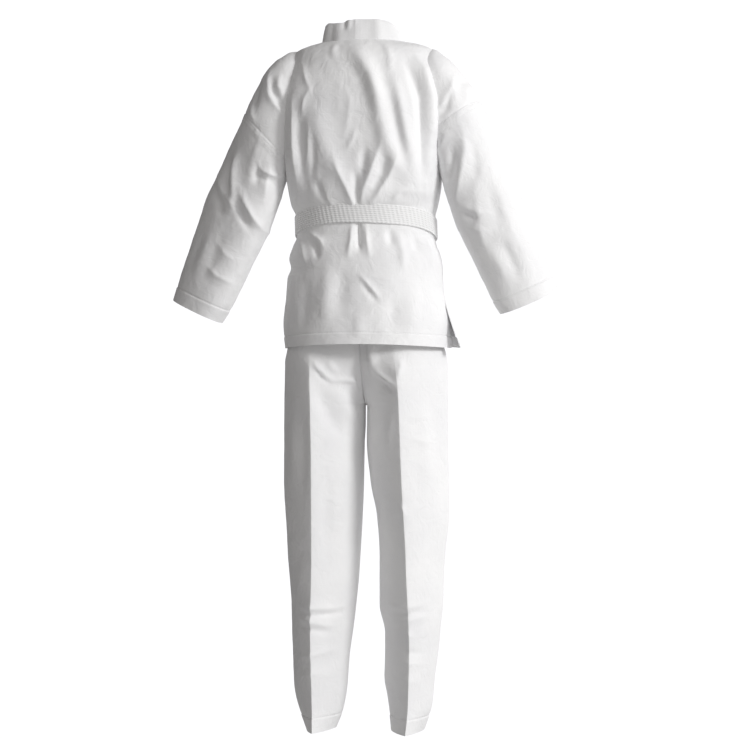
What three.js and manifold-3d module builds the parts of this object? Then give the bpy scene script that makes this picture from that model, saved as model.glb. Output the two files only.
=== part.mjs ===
// A martial arts uniform as it hangs on its wearer: pullover jacket, belt and trousers.
// Millimetres, +Z up. The wearer faces -Y and their left side is +X. The origin is the centre
// of the neck opening, level with the seam of the collar, so most of the uniform lies below it.
import * as THREE from "three";
import { mergeVertices } from "three/addons/utils/BufferGeometryUtils.js";
import Module from "manifold-3d";

const wasm = await Module();
wasm.setup();

// ---- Driving dimensions -------------------------------------------------------------------

const CLOTH = 3; // wall of every cloth solid, a stand-in for cloth 0.7 thick
const HEM_EXTRA = 1; // a turned hem is this much thicker than the cloth, on its outside
const SEAM_GAP = 0.3; // between two sewn pieces
const JOINT_GAP = 3; // between pieces that move against each other
const RING_SIDES = 28; // flats round a section

// Jacket. A drop is measured downwards from the neck seam.
const NECK_HALF_WIDTH = 78;
const NECK_HALF_DEPTH = 60;
const COLLAR_HEIGHT = 38;
const COLLAR_THICKNESS = 4;
const V_DROP = 205;
const LAPEL_WIDTH = 38;
const LAPEL_OVERLAP = 4; // the band starts this far inside the edge of the front panel's V
const SHOULDER_HALF_WIDTH = 150;
const SHOULDER_DROP = 72;
const CHEST_HALF_WIDTH = 153;
const CHEST_HALF_DEPTH = 116;
const CHEST_DROP = 235;
const WAIST_DROP = 371;
const WAIST_HALF_WIDTH = 136;
const WAIST_HALF_DEPTH = 97;
const WAIST_ZONE = 46; // the waist keeps its section this far above and below the belt's middle
const JACKET_LENGTH = 608;
const HEM_HALF_WIDTH = 176;
const HEM_HALF_DEPTH = 141;
const SKIRT_CROWN = 6; // the skirt bows out this much half way down
const HEM_HEIGHT = 24;
const VENT_GAP = 5; // between the front and back skirts at the open side vents

// Sleeves, in the arm's own frame: from the shoulder point down the arm.
const ARM_ANGLE = THREE.MathUtils.degToRad(22);
const SLEEVE_LENGTH = 507;
const ELBOW_DISTANCE = 290;
const SLEEVE_HALF_WIDTH = 66;
const SLEEVE_HALF_DEPTH = 64;
const CUFF_HALF_WIDTH = 57;
const CUFF_HALF_DEPTH = 56;
const CUFF_HEM = 30;
const ARMHOLE_RADIUS = 125; // the shoulder panel ends this far from the shoulder point
const ELBOW_BEND = THREE.MathUtils.degToRad(80);

// Belt.
const BELT_WIDTH = 40;
const BELT_THICKNESS = 3.5;
const BELT_SLOPE = 0.22; // the belt rises this much for each millimetre towards the back
const KNOT = { width: 58, depth: 26, height: 46 };
const TAIL_LENGTH = 212;
const TAIL_GAP = 20; // the skirt swings the tail's top up to the knot
const TAIL_STAND_OFF = 14; // from the jacket's waist to the tail's middle
const TAIL_SPLAY = THREE.MathUtils.degToRad(17);

// Trousers.
const WAISTBAND_DROP = 398;
const WAISTBAND_WIDTH = 38;
const WAISTBAND_EASE = 5.5; // between the waistband and the jacket round it
const ELASTIC_THICKNESS = 2;
const ELASTIC_CLEARANCE = 0.5;
const CASING_WALL = 1.5;
const SEAT_EASE = 14; // between the seat and the skirt's hem, at the sides
const SEAT_DEPTH_EASE = 19; // and at the front and back
const SEAT_MIDDLE_EASE = 16; // half way down the skirt
const HIP_DROP = 655; // level of the hip joints
const HIP_CLEARANCE = 56; // the seat's front ends this far above the hip joint, for the swing
const HIP_FULL_WIDTH = 92; // the hip's round is full this far each side of the middle
const HIP_END_RADIUS = 58; // and tapers to this past the hips
const CROTCH_BELOW_HIP = 35;
const INSEAM_GAP = 8; // from the uniform's middle to the inside of a leg
const LEG_TOP_EASE = 13; // a leg's top is this much inside the skirt's middle, to swing in it
const LEG_TOP_DEPTH_EASE = 26;
const LEG_TOP_HEIGHT = 47; // above the hip a leg keeps its narrow top section
const THIGH_HALF_WIDTH = 78;
const THIGH_HALF_DEPTH = 110;
const KNEE_DROP = 990;
const KNEE_HALF_WIDTH = 71;
const KNEE_HALF_DEPTH = 106;
const KNEE_BEND = THREE.MathUtils.degToRad(60);
const ANKLE_HEIGHT = 60; // above the leg's end
const ANKLE_HALF_WIDTH = 48;
const ANKLE_HALF_DEPTH = 98;
const LEG_END_HALF_WIDTH = 33; // the pressed leg closes flatter at its end
const LEG_END_HALF_DEPTH = 104;
const TROUSER_END_DROP = 1370;
const LEG_HEM = 30;
const GUSSET_HALF_WIDTH = 6;
const INSEAM_WINDOW = 68; // above the crotch a leg has no wall on its inner side

// ---- Sizes that follow ----------------------------------------------------------------------

const WAISTBAND_HALF_WIDTH = WAIST_HALF_WIDTH - CLOTH - WAISTBAND_EASE;
const WAISTBAND_HALF_DEPTH = WAIST_HALF_DEPTH - CLOTH - WAISTBAND_EASE;
const HIP_HALF_WIDTH = HEM_HALF_WIDTH - CLOTH - SEAT_EASE;
const HIP_HALF_DEPTH = HEM_HALF_DEPTH - CLOTH - SEAT_DEPTH_EASE;
const CROTCH_DROP = HIP_DROP + CROTCH_BELOW_HIP;
const LEG_CENTRE = THIGH_HALF_WIDTH + INSEAM_GAP;
const SKIRT_MIDDLE_HALF_WIDTH = (WAIST_HALF_WIDTH + HEM_HALF_WIDTH) / 2 + SKIRT_CROWN;
const SKIRT_MIDDLE_HALF_DEPTH = (WAIST_HALF_DEPTH + HEM_HALF_DEPTH) / 2 + SKIRT_CROWN;
const LEG_TOP_HALF_WIDTH = SKIRT_MIDDLE_HALF_WIDTH - LEG_TOP_EASE - LEG_CENTRE;
const LEG_TOP_HALF_DEPTH = SKIRT_MIDDLE_HALF_DEPTH - LEG_TOP_DEPTH_EASE;

// ---- Materials ----------------------------------------------------------------------------

const cloth = new THREE.MeshStandardMaterial({ color: 0xf4f4f6, roughness: 0.8, metalness: 0 });
const band = new THREE.MeshStandardMaterial({ color: 0xededf0, roughness: 0.8, metalness: 0 });
const webbing = new THREE.MeshStandardMaterial({ color: 0xf1f1ef, roughness: 0.85, metalness: 0 });
const elastic = new THREE.MeshStandardMaterial({ color: 0xe4e2dc, roughness: 0.9, metalness: 0 });

// ---- Solids -------------------------------------------------------------------------------

// A closed three.js geometry, moved by matrix, as a solid that can be joined and cut.
function solid(geometry, matrix = new THREE.Matrix4()) {
  const bare = geometry.clone().applyMatrix4(matrix);
  bare.deleteAttribute("normal");
  bare.deleteAttribute("uv");
  const merged = mergeVertices(bare, 1e-3);
  const mesh = new wasm.Mesh({
    numProp: 3,
    vertProperties: merged.attributes.position.array,
    triVerts: new Uint32Array(merged.index.array),
  });
  return new wasm.Manifold(mesh);
}

const join = (...solids) => solids.reduce((whole, next) => whole.add(next));
const cut = (whole, ...tools) => tools.reduce((rest, tool) => rest.subtract(tool), whole);

// A solid as a named mesh.
function piece(name, made, material) {
  const mesh = made.getMesh();
  const geometry = new THREE.BufferGeometry();
  geometry.setAttribute("position", new THREE.BufferAttribute(mesh.vertProperties, 3));
  geometry.setIndex(new THREE.BufferAttribute(mesh.triVerts, 1));
  geometry.computeVertexNormals();
  const result = new THREE.Mesh(geometry, material);
  result.name = name;
  return result;
}

// One level section: |x/halfWidth|^m + |y/halfDepth|^k = 1. Both 2 is an ellipse, and m 1 with
// k 1.6 is a pressed leg, pointed at the front and back.
function sectionPoints({ z, x = 0, y = 0, halfWidth, halfDepth, m = 2, k = 2, slope = 0 }) {
  const points = [];
  for (let i = 0; i < RING_SIDES; i++) {
    const angle = (2 * Math.PI * i) / RING_SIDES;
    const along = Math.sin(angle);
    const across = Math.cos(angle);
    const wide = Math.max(0, 1 - Math.abs(along) ** k) ** (1 / m);
    const py = y + halfDepth * along;
    const isTip = Math.abs(across) < 1e-9;
    points.push(x + (isTip ? 0 : Math.sign(across) * halfWidth * wide), py, z + slope * py);
  }
  return points;
}

// A closed geometry through level sections listed from the top down.
function loft(sections) {
  const levels = [...sections].reverse();
  const positions = levels.flatMap(sectionPoints);
  const first = levels[0];
  const last = levels[levels.length - 1];
  for (const s of [first, last]) {
    const y = s.y ?? 0;
    positions.push(s.x ?? 0, y, s.z + (s.slope ?? 0) * y);
  }
  const bottomCentre = levels.length * RING_SIDES;
  const topCentre = bottomCentre + 1;
  const topRing = (levels.length - 1) * RING_SIDES;
  const index = [];
  for (let i = 0; i < RING_SIDES; i++) {
    const next = (i + 1) % RING_SIDES;
    index.push(bottomCentre, next, i, topCentre, topRing + i, topRing + next);
    for (let level = 0; level < levels.length - 1; level++) {
      const low = level * RING_SIDES;
      const high = low + RING_SIDES;
      index.push(low + i, low + next, high + next, low + i, high + next, high + i);
    }
  }
  const geometry = new THREE.BufferGeometry();
  geometry.setAttribute("position", new THREE.Float32BufferAttribute(positions, 3));
  geometry.setIndex(index);
  return geometry;
}

const grown = (sections, by) =>
  sections.map((s) => ({ ...s, halfWidth: s.halfWidth + by, halfDepth: s.halfDepth + by }));

// The hollow of a tube: its sections shrunk by the wall and run on past both ends.
function hollow(sections, wall, drop = 0, past = 20) {
  const inner = grown(sections, -wall).map((s) => ({ ...s, z: s.z - drop }));
  const top = { ...inner[0], z: inner[0].z + past + drop };
  const bottom = { ...inner[inner.length - 1], z: inner[inner.length - 1].z - past };
  return [top, ...inner, bottom];
}

const tube = (sections, wall, drop = 0) =>
  cut(solid(loft(sections)), solid(loft(hollow(sections, wall, drop))));

// A box between two corners.
function box(low, high) {
  const size = high.map((value, i) => value - low[i]);
  const middle = high.map((value, i) => (value + low[i]) / 2);
  return solid(new THREE.BoxGeometry(...size).translate(...middle));
}

const FAR = 2000;
const above = (z) => box([-FAR, -FAR, z], [FAR, FAR, FAR]);
const below = (z) => box([-FAR, -FAR, -FAR], [FAR, FAR, z]);
const behind = (y) => box([-FAR, y, -FAR], [FAR, FAR, FAR]);
const before = (y) => box([-FAR, -FAR, -FAR], [FAR, y, FAR]);

// A cylinder along Y, for what turns about the shoulder.
const alongY = (radius, x, z) =>
  solid(new THREE.CylinderGeometry(radius, radius, FAR, 72).translate(x, 0, z));

// The round that a leg's top turns in: a drum along X about the hips, tapered towards its ends
// so that it stays inside the skirt. Extra makes it larger all over.
function hipRound(extra) {
  const end = HIP_HALF_WIDTH + 12;
  const profile = [
    [0, -end],
    [HIP_END_RADIUS, -end],
    [HIP_HALF_DEPTH, -HIP_FULL_WIDTH],
    [HIP_HALF_DEPTH, HIP_FULL_WIDTH],
    [HIP_END_RADIUS, end],
    [0, end],
  ].map(([radius, x]) => new THREE.Vector2(radius > 0 ? radius + extra : 0, x));
  const drum = new THREE.LatheGeometry(profile, 72);
  return solid(drum.rotateZ(-Math.PI / 2).translate(0, 0, HIP_LEVEL));
}

// A straight prism along X or Y with the given outline. The outline of one along X is [y, z],
// and of one along Y it is [x, z].
function prism(outline, axis, from, to) {
  const shape = new THREE.Shape(outline.map(([u, v]) => new THREE.Vector2(u, v)));
  const geometry = new THREE.ExtrudeGeometry(shape, { depth: to - from, bevelEnabled: false });
  const turn = new THREE.Matrix4();
  if (axis === "x") turn.set(0, 0, 1, from, 1, 0, 0, 0, 0, 1, 0, 0, 0, 0, 0, 1);
  else turn.set(1, 0, 0, 0, 0, 0, -1, to, 0, 1, 0, 0, 0, 0, 0, 1);
  return solid(geometry, turn);
}

// The notch that lets a tube bend: its point is on the joint's axis and it opens to one side.
const bendNotch = (z, bend, side) => {
  const reach = 200;
  const rise = reach * Math.tan(bend / 2);
  return prism([[0, z], [side * reach, z - rise], [side * reach, z + rise]], "x", -FAR, FAR);
};

// ---- Jacket sections ----------------------------------------------------------------------

const BELT_MIDDLE = -WAIST_DROP;
const HEM_LEVEL = -JACKET_LENGTH;
const SKIRT_TOP = BELT_MIDDLE - WAIST_ZONE;

const waist = { halfWidth: WAIST_HALF_WIDTH, halfDepth: WAIST_HALF_DEPTH };
const bodySections = [
  { z: 0, halfWidth: NECK_HALF_WIDTH, halfDepth: NECK_HALF_DEPTH },
  { z: -14, halfWidth: NECK_HALF_WIDTH + 36, halfDepth: NECK_HALF_DEPTH + 12 },
  { z: -30, halfWidth: SHOULDER_HALF_WIDTH, halfDepth: CHEST_HALF_DEPTH - 24 },
  { z: -SHOULDER_DROP, halfWidth: SHOULDER_HALF_WIDTH + 6, halfDepth: CHEST_HALF_DEPTH - 10 },
  { z: -CHEST_DROP + 80, halfWidth: CHEST_HALF_WIDTH + 1, halfDepth: CHEST_HALF_DEPTH },
  { z: -CHEST_DROP, halfWidth: CHEST_HALF_WIDTH, halfDepth: CHEST_HALF_DEPTH },
  { z: BELT_MIDDLE + WAIST_ZONE, ...waist },
  { z: SKIRT_TOP, ...waist },
];
const skirtSections = [
  { z: SKIRT_TOP - JOINT_GAP, ...waist },
  {
    z: (SKIRT_TOP + HEM_LEVEL) / 2,
    halfWidth: SKIRT_MIDDLE_HALF_WIDTH,
    halfDepth: SKIRT_MIDDLE_HALF_DEPTH,
  },
  { z: HEM_LEVEL, halfWidth: HEM_HALF_WIDTH, halfDepth: HEM_HALF_DEPTH },
];

// ---- Sleeves ------------------------------------------------------------------------------

const CUFF_HEM_TOP = -(SLEEVE_LENGTH - CUFF_HEM);
const armSections = [
  { z: 46, halfWidth: 18, halfDepth: 34 },
  { z: 32, halfWidth: 34, halfDepth: 56 },
  { z: 0, halfWidth: 50, halfDepth: 78 },
  { z: -ARMHOLE_RADIUS / 2, halfWidth: SLEEVE_HALF_WIDTH - 8, halfDepth: 78 },
  { z: -ARMHOLE_RADIUS - 40, halfWidth: SLEEVE_HALF_WIDTH, halfDepth: SLEEVE_HALF_DEPTH + 4 },
  { z: -ELBOW_DISTANCE, halfWidth: SLEEVE_HALF_WIDTH, halfDepth: SLEEVE_HALF_DEPTH },
  { z: -SLEEVE_LENGTH, halfWidth: CUFF_HALF_WIDTH, halfDepth: CUFF_HALF_DEPTH },
];

// From the arm's own frame to the uniform's, for the left (1) or right (-1) side.
const armPlace = (side) =>
  new THREE.Matrix4()
    .makeTranslation(side * SHOULDER_HALF_WIDTH, 0, -SHOULDER_DROP)
    .multiply(new THREE.Matrix4().makeRotationY(-side * ARM_ANGLE));

function armPieces(name, side) {
  const toArm = armPlace(side).invert();
  const torso = solid(loft(grown(bodySections, JOINT_GAP)), toArm);
  const clear = alongY(ARMHOLE_RADIUS + JOINT_GAP, 0, 0);
  const notch = bendNotch(-ELBOW_DISTANCE, ELBOW_BEND, -1);
  const sleeve = cut(tube(armSections, CLOTH), torso, clear, notch);
  const upper = sleeve.intersect(above(-ELBOW_DISTANCE + JOINT_GAP / 2));
  const lower = sleeve
    .intersect(below(-ELBOW_DISTANCE - JOINT_GAP / 2))
    .intersect(above(CUFF_HEM_TOP + SEAM_GAP));
  const cuff = tube(grown(armSections, HEM_EXTRA), CLOTH + HEM_EXTRA).intersect(
    below(CUFF_HEM_TOP),
  );
  const arm = new THREE.Group();
  arm.applyMatrix4(armPlace(side));
  arm.add(
    piece(`${name}_upper_sleeve`, upper, cloth),
    piece(`${name}_forearm_sleeve`, lower, cloth),
    piece(`${name}_cuff_hem`, cuff, band),
  );
  return arm;
}

// ---- Jacket body, collar and skirts --------------------------------------------------------

// The V of the neck, as seen from the front. A larger width gives the outer edge of the band.
const vOutline = (width) => [
  [-NECK_HALF_WIDTH - width, 60],
  [-NECK_HALF_WIDTH - width + 4, -8],
  [0, -V_DROP - width * 1.5],
  [NECK_HALF_WIDTH + width - 4, -8],
  [NECK_HALF_WIDTH + width, 60],
];

function jacketPieces() {
  const stub = (side) => solid(loft(armSections), armPlace(side));
  const stubHollow = (side) => solid(loft(hollow(armSections, CLOTH, CLOTH, -CLOTH)), armPlace(side));
  const nearShoulder = (side) => alongY(ARMHOLE_RADIUS, side * SHOULDER_HALF_WIDTH, -SHOULDER_DROP);
  const outside = join(
    solid(loft(bodySections)),
    stub(1).intersect(nearShoulder(1)),
    stub(-1).intersect(nearShoulder(-1)),
  );
  const inside = join(
    solid(loft(hollow(bodySections, CLOTH, CLOTH))),
    stubHollow(1),
    stubHollow(-1),
  );
  const shell = outside.subtract(inside);
  const vBand = prism(vOutline(-LAPEL_OVERLAP), "y", -FAR, -SEAM_GAP);
  const vOpening = prism(vOutline(-LAPEL_OVERLAP - LAPEL_WIDTH), "y", -FAR, -SEAM_GAP);
  const back = shell.intersect(behind(SEAM_GAP / 2));
  const front = cut(shell.intersect(before(-SEAM_GAP / 2)), vBand);

  const raised = solid(loft(grown(bodySections, COLLAR_THICKNESS - CLOTH)));
  const lapelShell = raised
    .subtract(solid(loft(hollow(bodySections, CLOTH, CLOTH))))
    .intersect(prism(vOutline(-LAPEL_OVERLAP - SEAM_GAP), "y", -FAR, -SEAM_GAP))
    .subtract(vOpening)
    .intersect(below(-JOINT_GAP));
  const lapel = (from, to) => lapelShell.intersect(box([from, -FAR, -FAR], [to, FAR, FAR]));

  const neck = { halfWidth: NECK_HALF_WIDTH, halfDepth: NECK_HALF_DEPTH };
  const collar = tube(
    [
      { z: COLLAR_HEIGHT, halfWidth: neck.halfWidth - 5, halfDepth: neck.halfDepth - 4 },
      { z: SEAM_GAP, ...neck },
    ],
    COLLAR_THICKNESS,
  );
  const collarFront = prism(
    [[-NECK_HALF_WIDTH * 0.62, -20], [NECK_HALF_WIDTH * 0.62, -20], [40, 80], [-40, 80]],
    "y", -FAR, 0,
  );
  return [
    piece("back_panel", back, cloth),
    piece("front_panel", front, cloth),
    piece("collar_stand", cut(collar, collarFront), band),
    piece("left_lapel", lapel(SEAM_GAP, FAR), band),
    piece("right_lapel", lapel(-FAR, 0), band),
  ];
}

function skirtPieces() {
  const shell = tube(skirtSections, CLOTH);
  const thick = tube(grown(skirtSections, HEM_EXTRA), CLOTH + HEM_EXTRA);
  const hemTop = HEM_LEVEL + HEM_HEIGHT;
  const halves = { back: behind(VENT_GAP / 2), front: before(-VENT_GAP / 2) };
  return Object.entries(halves).flatMap(([name, half]) => [
    piece(`${name}_skirt`, shell.intersect(half).intersect(above(hemTop + SEAM_GAP)), cloth),
    piece(`${name}_hem`, thick.intersect(half).intersect(below(hemTop)), band),
  ]);
}

// ---- Belt ---------------------------------------------------------------------------------

const wrap = (layer) => {
  const inset = SEAM_GAP + layer * (BELT_THICKNESS + SEAM_GAP);
  const outer = {
    halfWidth: WAIST_HALF_WIDTH + inset + BELT_THICKNESS,
    halfDepth: WAIST_HALF_DEPTH + inset + BELT_THICKNESS,
    slope: BELT_SLOPE,
  };
  return [
    { ...outer, z: BELT_MIDDLE + BELT_WIDTH / 2 },
    { ...outer, z: BELT_MIDDLE - BELT_WIDTH / 2 },
  ];
};

const BELT_FRONT = WAIST_HALF_DEPTH + 2 * (BELT_THICKNESS + SEAM_GAP);
const KNOT_LEVEL = BELT_MIDDLE - BELT_SLOPE * BELT_FRONT;

function knot() {
  const { width, depth, height } = KNOT;
  const middle = -BELT_FRONT - depth / 2 - SEAM_GAP;
  return [
    { z: height / 2, halfWidth: width * 0.3, halfDepth: depth * 0.26 },
    { z: height * 0.3, halfWidth: width * 0.46, halfDepth: depth * 0.46 },
    { z: 0, halfWidth: width / 2, halfDepth: depth / 2 },
    { z: -height * 0.3, halfWidth: width * 0.46, halfDepth: depth * 0.46 },
    { z: -height / 2, halfWidth: width * 0.3, halfDepth: depth * 0.26 },
  ].map((s) => ({ ...s, y: middle, z: s.z + KNOT_LEVEL, m: 2.6, k: 2.6 }));
}

// A tail hangs from under the knot, lying on the front skirt.
function tail(side) {
  const rise = SKIRT_MIDDLE_HALF_DEPTH - WAIST_HALF_DEPTH;
  const skirtLean = Math.atan2(rise, (SKIRT_TOP - HEM_LEVEL) / 2);
  const strip = new THREE.BoxGeometry(BELT_WIDTH, BELT_THICKNESS, TAIL_LENGTH);
  strip.translate(0, 0, -TAIL_LENGTH / 2);
  strip.rotateY(-side * TAIL_SPLAY);
  strip.rotateX(-skirtLean);
  return solid(strip.translate(
    side * (BELT_WIDTH / 2 + 4),
    -WAIST_HALF_DEPTH - TAIL_STAND_OFF,
    KNOT_LEVEL - KNOT.height / 2 - TAIL_GAP,
  ));
}

const beltPieces = () => [
  piece("belt_inner_wrap", tube(wrap(0), BELT_THICKNESS), webbing),
  piece("belt_outer_wrap", tube(wrap(1), BELT_THICKNESS), webbing),
  piece("belt_knot", solid(loft(knot())), webbing),
  piece("left_belt_tail", tail(1), webbing),
  piece("right_belt_tail", tail(-1), webbing),
];

// ---- Trousers -----------------------------------------------------------------------------

const CASING_THICKNESS = 2 * CASING_WALL + ELASTIC_THICKNESS + 2 * ELASTIC_CLEARANCE;
const CASING_END = -(WAISTBAND_DROP + WAISTBAND_WIDTH);
const HIP_LEVEL = -HIP_DROP;

const level = (z, size) => ({ z, ...size });

function waistbandPieces() {
  const size = { halfWidth: WAISTBAND_HALF_WIDTH, halfDepth: WAISTBAND_HALF_DEPTH };
  const ring = (inset, thickness, top, bottom) =>
    tube(grown([level(top, size), level(bottom, size)], -inset), thickness);
  const channel = CASING_THICKNESS - 2 * CASING_WALL;
  const casing = cut(
    ring(0, CASING_THICKNESS, -WAISTBAND_DROP, CASING_END),
    ring(CASING_WALL, channel, -WAISTBAND_DROP - CASING_WALL, CASING_END - 10),
  );
  const band = ring(
    CASING_WALL + ELASTIC_CLEARANCE,
    ELASTIC_THICKNESS,
    -WAISTBAND_DROP - CASING_WALL - ELASTIC_CLEARANCE,
    CASING_END + 4,
  );
  return [piece("waistband_casing", casing, cloth), piece("waist_elastic", band, elastic)];
}

const seatLevel = (share) => THREE.MathUtils.lerp(CASING_END - SEAM_GAP, HIP_LEVEL, share);
const seatSections = [
  { z: seatLevel(0), halfWidth: WAISTBAND_HALF_WIDTH, halfDepth: WAISTBAND_HALF_DEPTH },
  {
    z: seatLevel(0.4),
    halfWidth: SKIRT_MIDDLE_HALF_WIDTH - SEAT_MIDDLE_EASE,
    halfDepth: SKIRT_MIDDLE_HALF_DEPTH - SEAT_MIDDLE_EASE,
  },
  { z: seatLevel(0.65), halfWidth: HIP_HALF_WIDTH, halfDepth: HIP_HALF_DEPTH },
  { z: seatLevel(1), halfWidth: HIP_HALF_WIDTH, halfDepth: HIP_HALF_DEPTH },
];

// The seat ends on an arc about the hip joints, so that the legs can swing under it.
function seatPieces() {
  const shell = cut(
    tube(seatSections, CLOTH),
    hipRound(JOINT_GAP),
  );
  const front = shell.intersect(before(-SEAM_GAP / 2)).intersect(above(HIP_LEVEL + HIP_CLEARANCE));
  const back = shell.intersect(behind(SEAM_GAP / 2)).intersect(above(HIP_LEVEL + JOINT_GAP));
  const gussetEnd = -CROTCH_DROP;
  const edge = HIP_HALF_DEPTH - CLOTH - JOINT_GAP;
  const sag = (inset) => [
    [-edge + inset, HIP_LEVEL + HIP_CLEARANCE],
    [-edge * 0.78, HIP_LEVEL + 6 + inset],
    [-edge * 0.4, gussetEnd + inset],
    [edge * 0.4, gussetEnd + inset],
    [edge * 0.78, HIP_LEVEL + 6 + inset],
    [edge - inset, HIP_LEVEL + HIP_CLEARANCE],
  ];
  const gusset = prism(
    [...sag(0), ...sag(CLOTH).reverse()], "x", -GUSSET_HALF_WIDTH, GUSSET_HALF_WIDTH,
  );
  return [
    piece("seat_back", back, cloth),
    piece("seat_front", front, cloth),
    piece("crotch_gusset", gusset, cloth),
  ];
}

function legSections(side) {
  const top = { halfWidth: LEG_TOP_HALF_WIDTH, halfDepth: LEG_TOP_HALF_DEPTH };
  const crotch = { halfWidth: THIGH_HALF_WIDTH, halfDepth: THIGH_HALF_DEPTH, m: 1.8 };
  const knee = { halfWidth: KNEE_HALF_WIDTH, halfDepth: KNEE_HALF_DEPTH };
  const thigh = {
    halfWidth: (crotch.halfWidth + knee.halfWidth) / 2,
    halfDepth: (crotch.halfDepth + knee.halfDepth) / 2,
  };
  const ankle = { halfWidth: ANKLE_HALF_WIDTH, halfDepth: ANKLE_HALF_DEPTH };
  const end = { halfWidth: LEG_END_HALF_WIDTH, halfDepth: LEG_END_HALF_DEPTH };
  const pressed = { m: 1.1, k: 1.6 };
  return [
    { z: HIP_LEVEL + HIP_HALF_DEPTH, ...top },
    { z: HIP_LEVEL + LEG_TOP_HEIGHT, ...top },
    { z: -CROTCH_DROP, ...crotch },
    { z: -(CROTCH_DROP + KNEE_DROP) / 2, ...thigh, m: 1.4, k: 1.8 },
    { z: -KNEE_DROP, ...knee, ...pressed },
    { z: -TROUSER_END_DROP + ANKLE_HEIGHT, ...ankle, ...pressed },
    { z: -TROUSER_END_DROP, ...end, ...pressed },
  ].map((section) => ({ ...section, x: side * LEG_CENTRE }));
}

function legPieces(name, side) {
  const hemTop = -(TROUSER_END_DROP - LEG_HEM);
  const notch = bendNotch(-KNEE_DROP, KNEE_BEND, 1);
  const window = INSEAM_WINDOW;
  const inseam = box([-window, -window, -CROTCH_DROP], [window, window, FAR]);
  const whole = tube(legSections(side), CLOTH).intersect(join(hipRound(0), below(HIP_LEVEL)));
  const leg = cut(whole, notch, inseam);
  const thigh = leg.intersect(above(-KNEE_DROP + JOINT_GAP / 2));
  const shin = leg.intersect(below(-KNEE_DROP - JOINT_GAP / 2)).intersect(above(hemTop + SEAM_GAP));
  const hem = tube(grown(legSections(side), HEM_EXTRA), CLOTH + HEM_EXTRA).intersect(below(hemTop));
  const half = (whole, isBack) =>
    whole.intersect(isBack ? behind(SEAM_GAP / 2) : before(-SEAM_GAP / 2));
  return [
    piece(`${name}_thigh_front`, half(thigh, false), cloth),
    piece(`${name}_thigh_back`, half(thigh, true), cloth),
    piece(`${name}_shin_front`, half(shin, false), cloth),
    piece(`${name}_shin_back`, half(shin, true), cloth),
    piece(`${name}_leg_hem`, hem, band),
  ];
}

// ---- The uniform --------------------------------------------------------------------------

const uniform = new THREE.Group();
uniform.add(...jacketPieces(), ...skirtPieces(), ...beltPieces());
uniform.add(armPieces("left", 1), armPieces("right", -1));
uniform.add(...waistbandPieces(), ...seatPieces());
uniform.add(...legPieces("left", 1), ...legPieces("right", -1));

export default uniform;
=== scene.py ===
import math

import bmesh
import bpy
import numpy as np
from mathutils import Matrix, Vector, noise


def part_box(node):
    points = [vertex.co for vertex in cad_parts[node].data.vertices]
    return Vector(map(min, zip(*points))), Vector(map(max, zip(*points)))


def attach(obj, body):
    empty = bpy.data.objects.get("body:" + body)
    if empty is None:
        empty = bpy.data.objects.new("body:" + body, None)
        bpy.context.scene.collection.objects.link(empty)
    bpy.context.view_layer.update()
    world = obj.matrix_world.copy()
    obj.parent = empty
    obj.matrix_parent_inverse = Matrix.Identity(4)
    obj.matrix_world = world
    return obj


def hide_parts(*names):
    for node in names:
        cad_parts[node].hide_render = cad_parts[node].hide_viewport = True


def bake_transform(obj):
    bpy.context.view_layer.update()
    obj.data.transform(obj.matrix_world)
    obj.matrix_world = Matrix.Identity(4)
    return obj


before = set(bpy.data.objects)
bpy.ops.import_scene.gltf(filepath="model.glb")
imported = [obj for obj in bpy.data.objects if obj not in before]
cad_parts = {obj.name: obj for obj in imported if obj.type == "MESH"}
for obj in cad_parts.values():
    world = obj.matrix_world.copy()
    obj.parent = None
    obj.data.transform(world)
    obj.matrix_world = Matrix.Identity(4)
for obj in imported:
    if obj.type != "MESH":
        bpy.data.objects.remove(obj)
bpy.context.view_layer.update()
print("frame loaded")

# Lengths are in millimetres until a mesh is made. The wearer faces -Y and their left is +X.
mm = 0.001


def linear(hexColour):  # an sRGB hex value as the linear colour that Blender takes
    parts = [int(hexColour[i:i + 2], 16) / 255 for i in (1, 3, 5)]
    return [c / 12.92 if c <= 0.04045 else ((c + 0.055) / 1.055) ** 2.4 for c in parts] + [1]


# ---- camera, room and light

view = {
    "azimuth": 190,  # the camera stands behind the wearer, a little to their right
    "distance": 5.2,
    "fieldWidth": 1.478,  # how wide the view is at the uniform
    "aim": (-0.0071, 0.0, -0.653),
}


def makeCamera():
    data = bpy.data.cameras.new("camera")
    camera = bpy.data.objects.new("camera", data)
    bpy.context.scene.collection.objects.link(camera)
    turn = math.radians(view["azimuth"])
    back = Vector((math.sin(turn), -math.cos(turn), 0))
    aim = Vector(view["aim"])
    camera.location = aim + back * view["distance"]
    camera.rotation_euler = (aim - camera.location).to_track_quat("-Z", "Y").to_euler()
    data.sensor_width = 36
    data.lens = 36 * view["distance"] / view["fieldWidth"]
    bpy.context.scene.camera = camera


makeCamera()

room = {
    "floorDrop": 2.05,  # the uniform hangs as if worn, clear of the floor
    "floorSize": 8,
    "floorColour": "#d8d8d8",
    "backdrop": 1.08,  # sky behind the uniform
    "backdropAt": (0.17, -0.985, 0.0),
    "backdropEdge": (0.84, 0.95),  # where it fades out and is full, as a share of its direction
    "brightSide": 0.72,  # sky on the wearer's right
    "brightSideAt": (-0.86, 0.48, 0.18),
    "brightSideEdge": (-0.28, 1.0),
    "dimSide": 0.11,  # sky on the wearer's left
    "dimTint": "#fffaf5",
    "brightTint": "#fdfdff",
    "keyPower": 112,
    "keySize": 1.2,
    "keyPlace": (-3.7, 2.4, 1.0),
    "fillPower": 80,  # lights the front, which the camera doesn't see
    "fillSize": 2.5,
    "fillPlace": (-2.6, -4.4, 0.9),
}


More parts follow.
